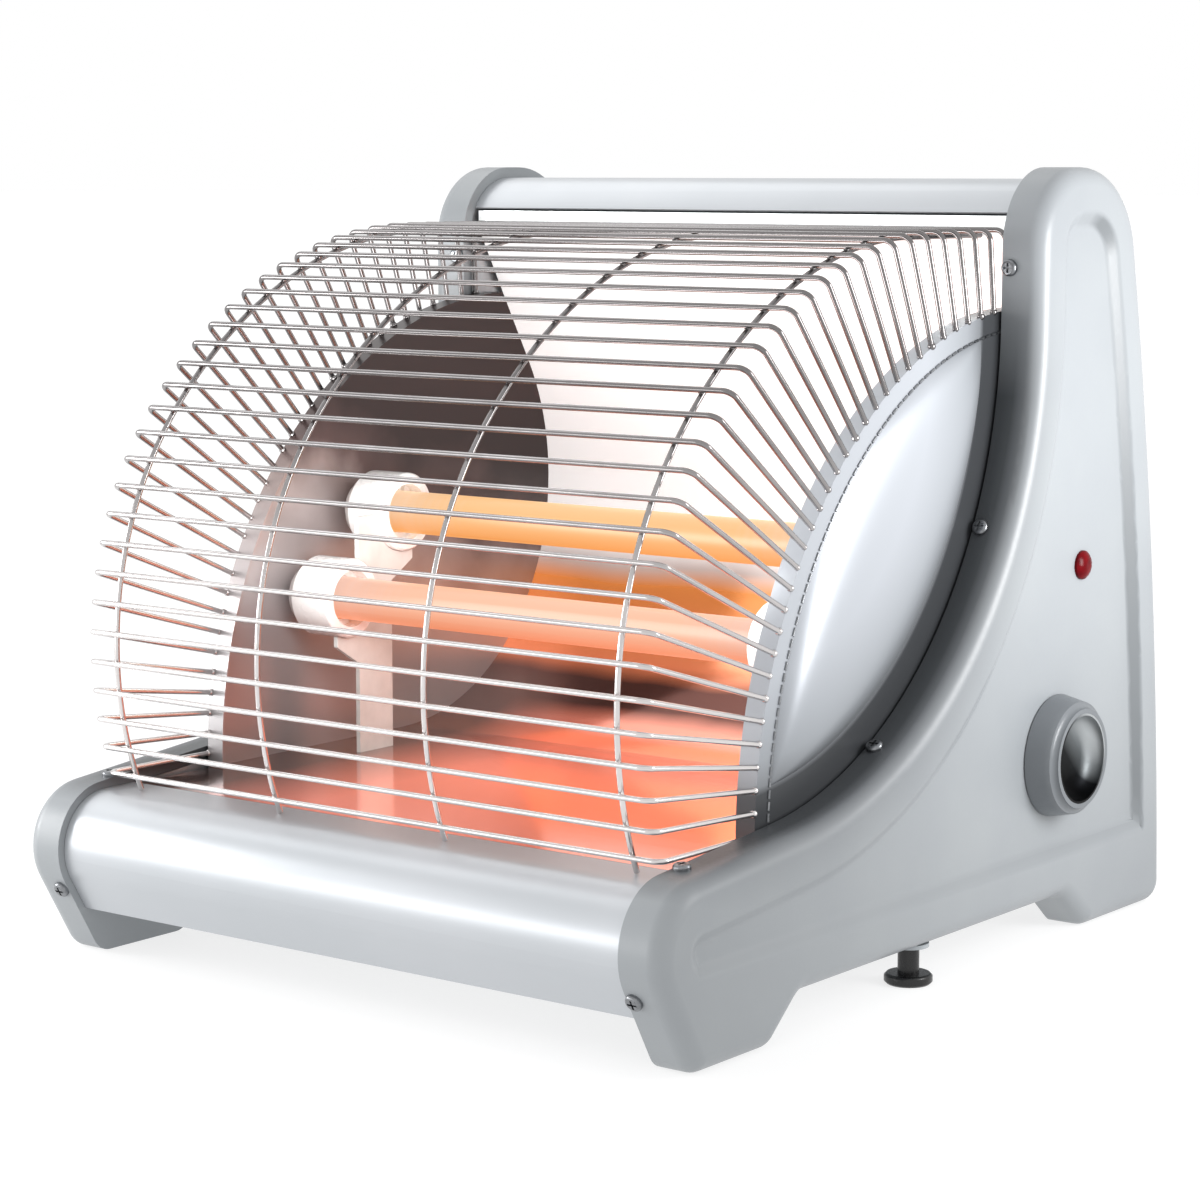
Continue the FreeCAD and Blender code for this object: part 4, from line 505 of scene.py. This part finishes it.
def pressedDome(name, side):
    focus, sweep = Vector(dome["focus"]), Vector(dome["sweep"])
    gap = (sweep - focus).length
    toSweep = (sweep - focus).normalized()
    along = Vector((-toSweep.y, toSweep.x))
    middle = (gap ** 2 + dome["rim"] ** 2 - dome["edge"] ** 2) / (2 * gap)
    half = math.sqrt(dome["rim"] ** 2 - middle ** 2)
    form = bmesh.new()
    for bulge in (dome["rise"], 0.0):  # the pressed face, then the flat face that lies in the plate
        rows = []
        for i in range(dome["steps"] + 1):
            v = -1 + 2 * i / dome["steps"]
            front = math.sqrt(dome["rim"] ** 2 - (v * half) ** 2) - middle
            rear = math.sqrt(dome["edge"] ** 2 - (v * half) ** 2) - (gap - middle)
            row = []
            for j in range(dome["across"] + 1):
                s = -1 + 2 * j / dome["across"]
                reach = middle + (front - rear) / 2 + s * (front + rear) / 2
                spot = focus + toSweep * reach + along * (v * half)
                height = dome["foot"] + bulge * (1 - s ** dome["roundAcross"]) * (1 - v ** dome["roundAlong"])
                row.append(form.verts.new(place(side * height, *spot)))
            rows.append(row)
        for lower, upper in zip(rows, rows[1:]):
            for a, b, c, d in zip(lower, lower[1:], upper[1:], upper):
                form.faces.new((a, b, c, d))
    bmesh.ops.remove_doubles(form, verts=form.verts, dist=dome["merge"])
    bmesh.ops.dissolve_degenerate(form, edges=form.edges, dist=dome["thin"])
    bmesh.ops.recalc_face_normals(form, faces=form.faces)
    mesh = bpy.data.meshes.new(name)
    form.to_mesh(mesh)
    form.free()
    mesh.shade_smooth()
    mesh.set_sharp_from_angle(angle=crispAngle)
    mesh.materials.append(finishes["disc_metal"])
    piece = newObject(name, mesh)
    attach(piece, "housing")


pressedDome("rightDome", 1)
pressedDome("leftDome", -1)
print("domes done")


# Node trees: a wire swept along its run, beads set on points, and dashes set along a run

def newTree(name, inputs):
    tree = bpy.data.node_groups.new(name, "GeometryNodeTree")
    tree.interface.new_socket("Geometry", in_out="INPUT", socket_type="NodeSocketGeometry")
    for label, kind in inputs.items():
        tree.interface.new_socket(label, in_out="INPUT", socket_type="NodeSocket" + kind)
    tree.interface.new_socket("Geometry", in_out="OUTPUT", socket_type="NodeSocketGeometry")
    return tree, addNode(tree, "NodeGroupInput").outputs


def endTree(tree, geometry, material):
    real = addNode(tree, "GeometryNodeRealizeInstances", {0: geometry}).outputs[0]
    smooth = addNode(tree, "GeometryNodeSetShadeSmooth", {0: real}).outputs[0]
    painted = addNode(tree, "GeometryNodeSetMaterial", {"Geometry": smooth, "Material": material}).outputs[0]
    addNode(tree, "NodeGroupOutput", {0: painted})
    return tree


def wireTree():
    tree, given = newTree("sweptWire", {"wireRadius": "Float", "bendRadius": "Float", "bendSteps": "Int",
                                        "sides": "Int", "finish": "Material"})
    run = addNode(tree, "GeometryNodeMeshToCurve", {0: given["Geometry"]}).outputs[0]
    bent = addNode(tree, "GeometryNodeFilletCurve", {"Curve": run, "Radius": given["bendRadius"],
                                                     "Count": given["bendSteps"]}, mode="POLY").outputs[0]
    ring = addNode(tree, "GeometryNodeCurvePrimitiveCircle",
                   {"Resolution": given["sides"], "Radius": given["wireRadius"]}).outputs[0]
    swept = addNode(tree, "GeometryNodeCurveToMesh",
                    {"Curve": bent, "Profile Curve": ring, "Fill Caps": True}).outputs[0]
    return endTree(tree, swept, given["finish"])


def beadTree():
    tree, given = newTree("weldBeads", {"beadRadius": "Float", "spread": "Float", "seed": "Int",
                                        "finish": "Material"})
    ball = addNode(tree, "GeometryNodeMeshIcoSphere",
                   {"Radius": given["beadRadius"], "Subdivisions": 2}).outputs[0]
    least = addNode(tree, "ShaderNodeMath", {0: 1.0, 1: given["spread"]}, operation="SUBTRACT").outputs[0]
    size = addNode(tree, "FunctionNodeRandomValue", {2: least, 3: 1.0, "Seed": given["seed"]},
                   data_type="FLOAT").outputs[1]
    beads = addNode(tree, "GeometryNodeInstanceOnPoints",
                    {"Points": given["Geometry"], "Instance": ball, "Scale": size}).outputs[0]
    return endTree(tree, beads, given["finish"])


def dashTree():
    tree, given = newTree("crimpDashes", {"dashRadius": "Float", "dashLength": "Float", "count": "Int",
                                          "finish": "Material"})
    run = addNode(tree, "GeometryNodeMeshToCurve", {0: given["Geometry"]}).outputs[0]
    spots = addNode(tree, "GeometryNodeCurveToPoints", {"Curve": run, "Count": given["count"]},
                    mode="COUNT").outputs
    dash = addNode(tree, "GeometryNodeMeshCylinder",
                   {"Vertices": 8, "Radius": given["dashRadius"], "Depth": given["dashLength"]}).outputs[0]
    dashes = addNode(tree, "GeometryNodeInstanceOnPoints",
                     {"Points": spots[0], "Instance": dash, "Rotation": spots["Rotation"]}).outputs[0]
    return endTree(tree, dashes, given["finish"])


trees = {"wire": wireTree(), "bead": beadTree(), "dash": dashTree()}


def grow(name, kind, runs, slot, values, stands=()):
    points, edges = [], []
    for run in runs:
        first = len(points)
        points += run
        edges += [(first + i, first + i + 1) for i in range(len(run) - 1)]
    mesh = bpy.data.meshes.new(name)
    mesh.from_pydata([tuple(p) for p in points], edges, [])
    piece = newObject(name, mesh)
    modifier = piece.modifiers.new("nodes", "NODES")
    modifier.node_group = trees[kind]
    values = {**values, "finish": finishes[slot]}
    for item in trees[kind].interface.items_tree:
        if item.in_out == "INPUT" and item.name in values:
            modifier[item.identifier] = values[item.name]
    applyModifiers(piece)
    piece.data.set_sharp_from_angle(angle=crispAngle)
    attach(piece, "housing")
    if stands:
        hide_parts(*stands)


# Wire guard: a lower arc from the nose, an upper arc to the crown, then a level run to the reflector's lip
guard = {"lower": 138.8, "upper": 195.4, "turn": 43.3, "crown": (176.0, 78.9), "floor": 63.05, "lip": 227.2,
         "half": 130.5, "wire": 2.1, "gap": 0.05, "pitch": 11.3, "start": 6.1, "bend": 4.0, "bendSteps": 6,
         "hoops": (-117.5, -45.5, 33.5, 117.5), "hoopSteps": 90, "sides": 12, "tackLift": 0.3}
beads = {"guardWelds": {"beadRadius": 1.3 * mm, "spread": 0.25, "seed": 7},
         "rimTacks": {"beadRadius": 1.6 * mm, "spread": 0.3, "seed": 11}}
disc = {"focus": discFocus, "radius": 177.4, "outside": 131.0, "rimEnd": 233.0}


def guardPath(inset):
    lower, upper, turn = guard["lower"] - inset, guard["upper"] - inset, math.radians(guard["turn"])
    crown = Vector(guard["crown"])
    middle = crown + Vector((-math.cos(turn), math.sin(turn))) * (upper - lower)
    lean = (middle.y - guard["floor"]) / lower
    low = math.asin(guard["wire"] / 2 * lean / lower - lean)
    lengths = [lower * (turn - low), upper * (math.pi / 2 - turn), guard["lip"] - crown.x]

    def at(distance):
        if distance < lengths[0]:
            angle = low + distance / lower
            return middle + Vector((-math.cos(angle), math.sin(angle))) * lower
        if distance < lengths[0] + lengths[1]:
            angle = turn + (distance - lengths[0]) / upper
            return crown + Vector((-math.cos(angle), math.sin(angle))) * upper
        return crown + Vector((distance - lengths[0] - lengths[1], upper))
    return at, sum(lengths)


barAt, barLength = guardPath(0.0)
hoopAt, hoopLength = guardPath(guard["wire"] + guard["gap"])
barCount = int((barLength - guard["wire"] - guard["start"]) / guard["pitch"]) + 1
focus = Vector(disc["focus"])
half = guard["half"]
bars, welds, tacks = [], [], []
for number in range(barCount):
    corner = barAt(guard["start"] + number * guard["pitch"])
    out = (corner - focus).normalized()
    seat = focus + out * (disc["radius"] + guard["gap"])
    bars.append([place(-half, *seat), place(-half, *corner), place(half, *corner), place(half, *seat)])
    under = corner - out * guard["wire"] / 2
    welds += [place(x, *under) for x in guard["hoops"]]
    tacks += [place(side * half, *(seat + out * guard["tackLift"])) for side in (-1, 1)]
hoops = [[place(x, *hoopAt(hoopLength * i / guard["hoopSteps"])) for i in range(guard["hoopSteps"] + 1)]
         for x in guard["hoops"]]
wire = {"wireRadius": guard["wire"] / 2 * mm, "sides": guard["sides"], "bendSteps": guard["bendSteps"]}
grow("guardBars", "wire", bars, "guard_wire", {**wire, "bendRadius": guard["bend"] * mm}, ["guard_bars"])
grow("guardHoops", "wire", hoops, "guard_wire", {**wire, "bendRadius": 0.0}, ["guard_hoops"])
for name, points in (("guardWelds", welds), ("rimTacks", tacks)):
    grow(name, "bead", [[p] for p in points], "guard_wire", beads[name])
print("guard:", barCount, "bars", len(welds), "welds")

# Rolled seam between the rim and the dome of each disc, drawn as a row of crimps
seam = {"radius": 169.6, "from": 66.0, "margin": 6.0, "proud": 0.15, "steps": 80}
dashes = {"count": 64, "dashRadius": 0.55 * mm, "dashLength": 3.0 * mm}
low = math.asin((seam["from"] - focus.y) / seam["radius"])
high = math.acos((focus.x - disc["rimEnd"] + seam["margin"]) / seam["radius"])
angles = [low + (high - low) * i / seam["steps"] for i in range(seam["steps"] + 1)]
for side, name in ((1, "rightRimSeam"), (-1, "leftRimSeam")):
    away = side * (disc["outside"] + seam["proud"])
    spots = [focus + Vector((-math.cos(a), math.sin(a))) * seam["radius"] for a in angles]
    run = [place(away, *spot) for spot in spots]
    grow(name, "dash", [run], "fixing_steel", dashes)
print("seams done")

# Stage: backlit opal acrylic, as on a light table, which glows evenly so that little shadow is left
stage = {"size": 60, "world": 1.0, "lift": 0.75}
floorFinish = surface("backlitOpalAcrylic", "#919191", "#959595", cloudMm=400, rough=(0.75, 0.85), grainMm=8,
                      Specular_IOR_Level=0.1, Emission_Color=(1, 1, 1, 1), Emission_Strength=stage["lift"])
floorMesh = bpy.data.meshes.new("floor")
reach = stage["size"] / 2
floorMesh.from_pydata([(-reach, -reach, 0), (reach, -reach, 0), (reach, reach, 0), (-reach, reach, 0)], [],
                      [(0, 1, 2, 3)])
floorMesh.materials.append(floorFinish)
floor = newObject("floor", floorMesh)

world = bpy.data.worlds.new("studio")
bpy.context.scene.world = world
world.use_nodes = True
world.node_tree.nodes["Background"].inputs[0].default_value = (1, 1, 1, 1)
world.node_tree.nodes["Background"].inputs[1].default_value = stage["world"]

# Soft boxes: places and sizes in metres, power in watts, spread in degrees where it is less than 180
lights = {
    "keyBox": {"spot": (0.42, 0.1, 0.23), "aim": (0.14, 0.1, 0.21), "size": (0.12, 0.2), "power": 0.55,
               "spread": 105},
    "stripBox": {"spot": (-1.2, -1.5, 0.22), "aim": (0, 0.05, 0.12), "size": (2.2, 0.4), "power": 9.5},
    "leftBox": {"spot": (-0.5, -0.35, 0.2), "aim": (-0.155, -0.15, 0.06), "size": (0.2, 0.2), "power": 1.3},
    "wallFill": {"spot": place(0, 60, 165), "aim": place(0, 275, 205), "size": (0.2, 0.06), "power": 0.3},
    "overBox": {"spot": (-1.35, 0.35, 1.75), "aim": (0, 0.05, 0.25), "size": (2.0, 0.8), "power": 7},
}
for name, box in lights.items():
    light = bpy.data.lights.new(name, "AREA")
    light.shape = "RECTANGLE"
    light.size, light.size_y = box["size"]
    light.energy = box["power"]
    light.spread = math.radians(box.get("spread", 180))
    item = newObject(name, light)
    item.location = box["spot"]
    item.rotation_euler = (Vector(box["aim"]) - Vector(box["spot"])).to_track_quat("-Z", "Y").to_euler()
    item.visible_camera = False
print("lights:", len(lights))

view = {"spot": (0.73405, -0.97645, 0.2973), "azimuth": 37.41, "elevation": 7.77, "lens": 94.88, "sensor": 36}
camera = newObject("camera", bpy.data.cameras.new("camera"))
camera.location = view["spot"]
turn, tilt = math.radians(view["azimuth"]), math.radians(view["elevation"])
back = Vector((math.sin(turn) * math.cos(tilt), -math.cos(turn) * math.cos(tilt), math.sin(tilt)))
camera.rotation_euler = back.to_track_quat("Z", "Y").to_euler()
camera.data.sensor_width = view["sensor"]
camera.data.lens = view["lens"]
bpy.context.scene.camera = camera
bpy.context.scene.view_settings.view_transform = "Standard"
print("camera set")
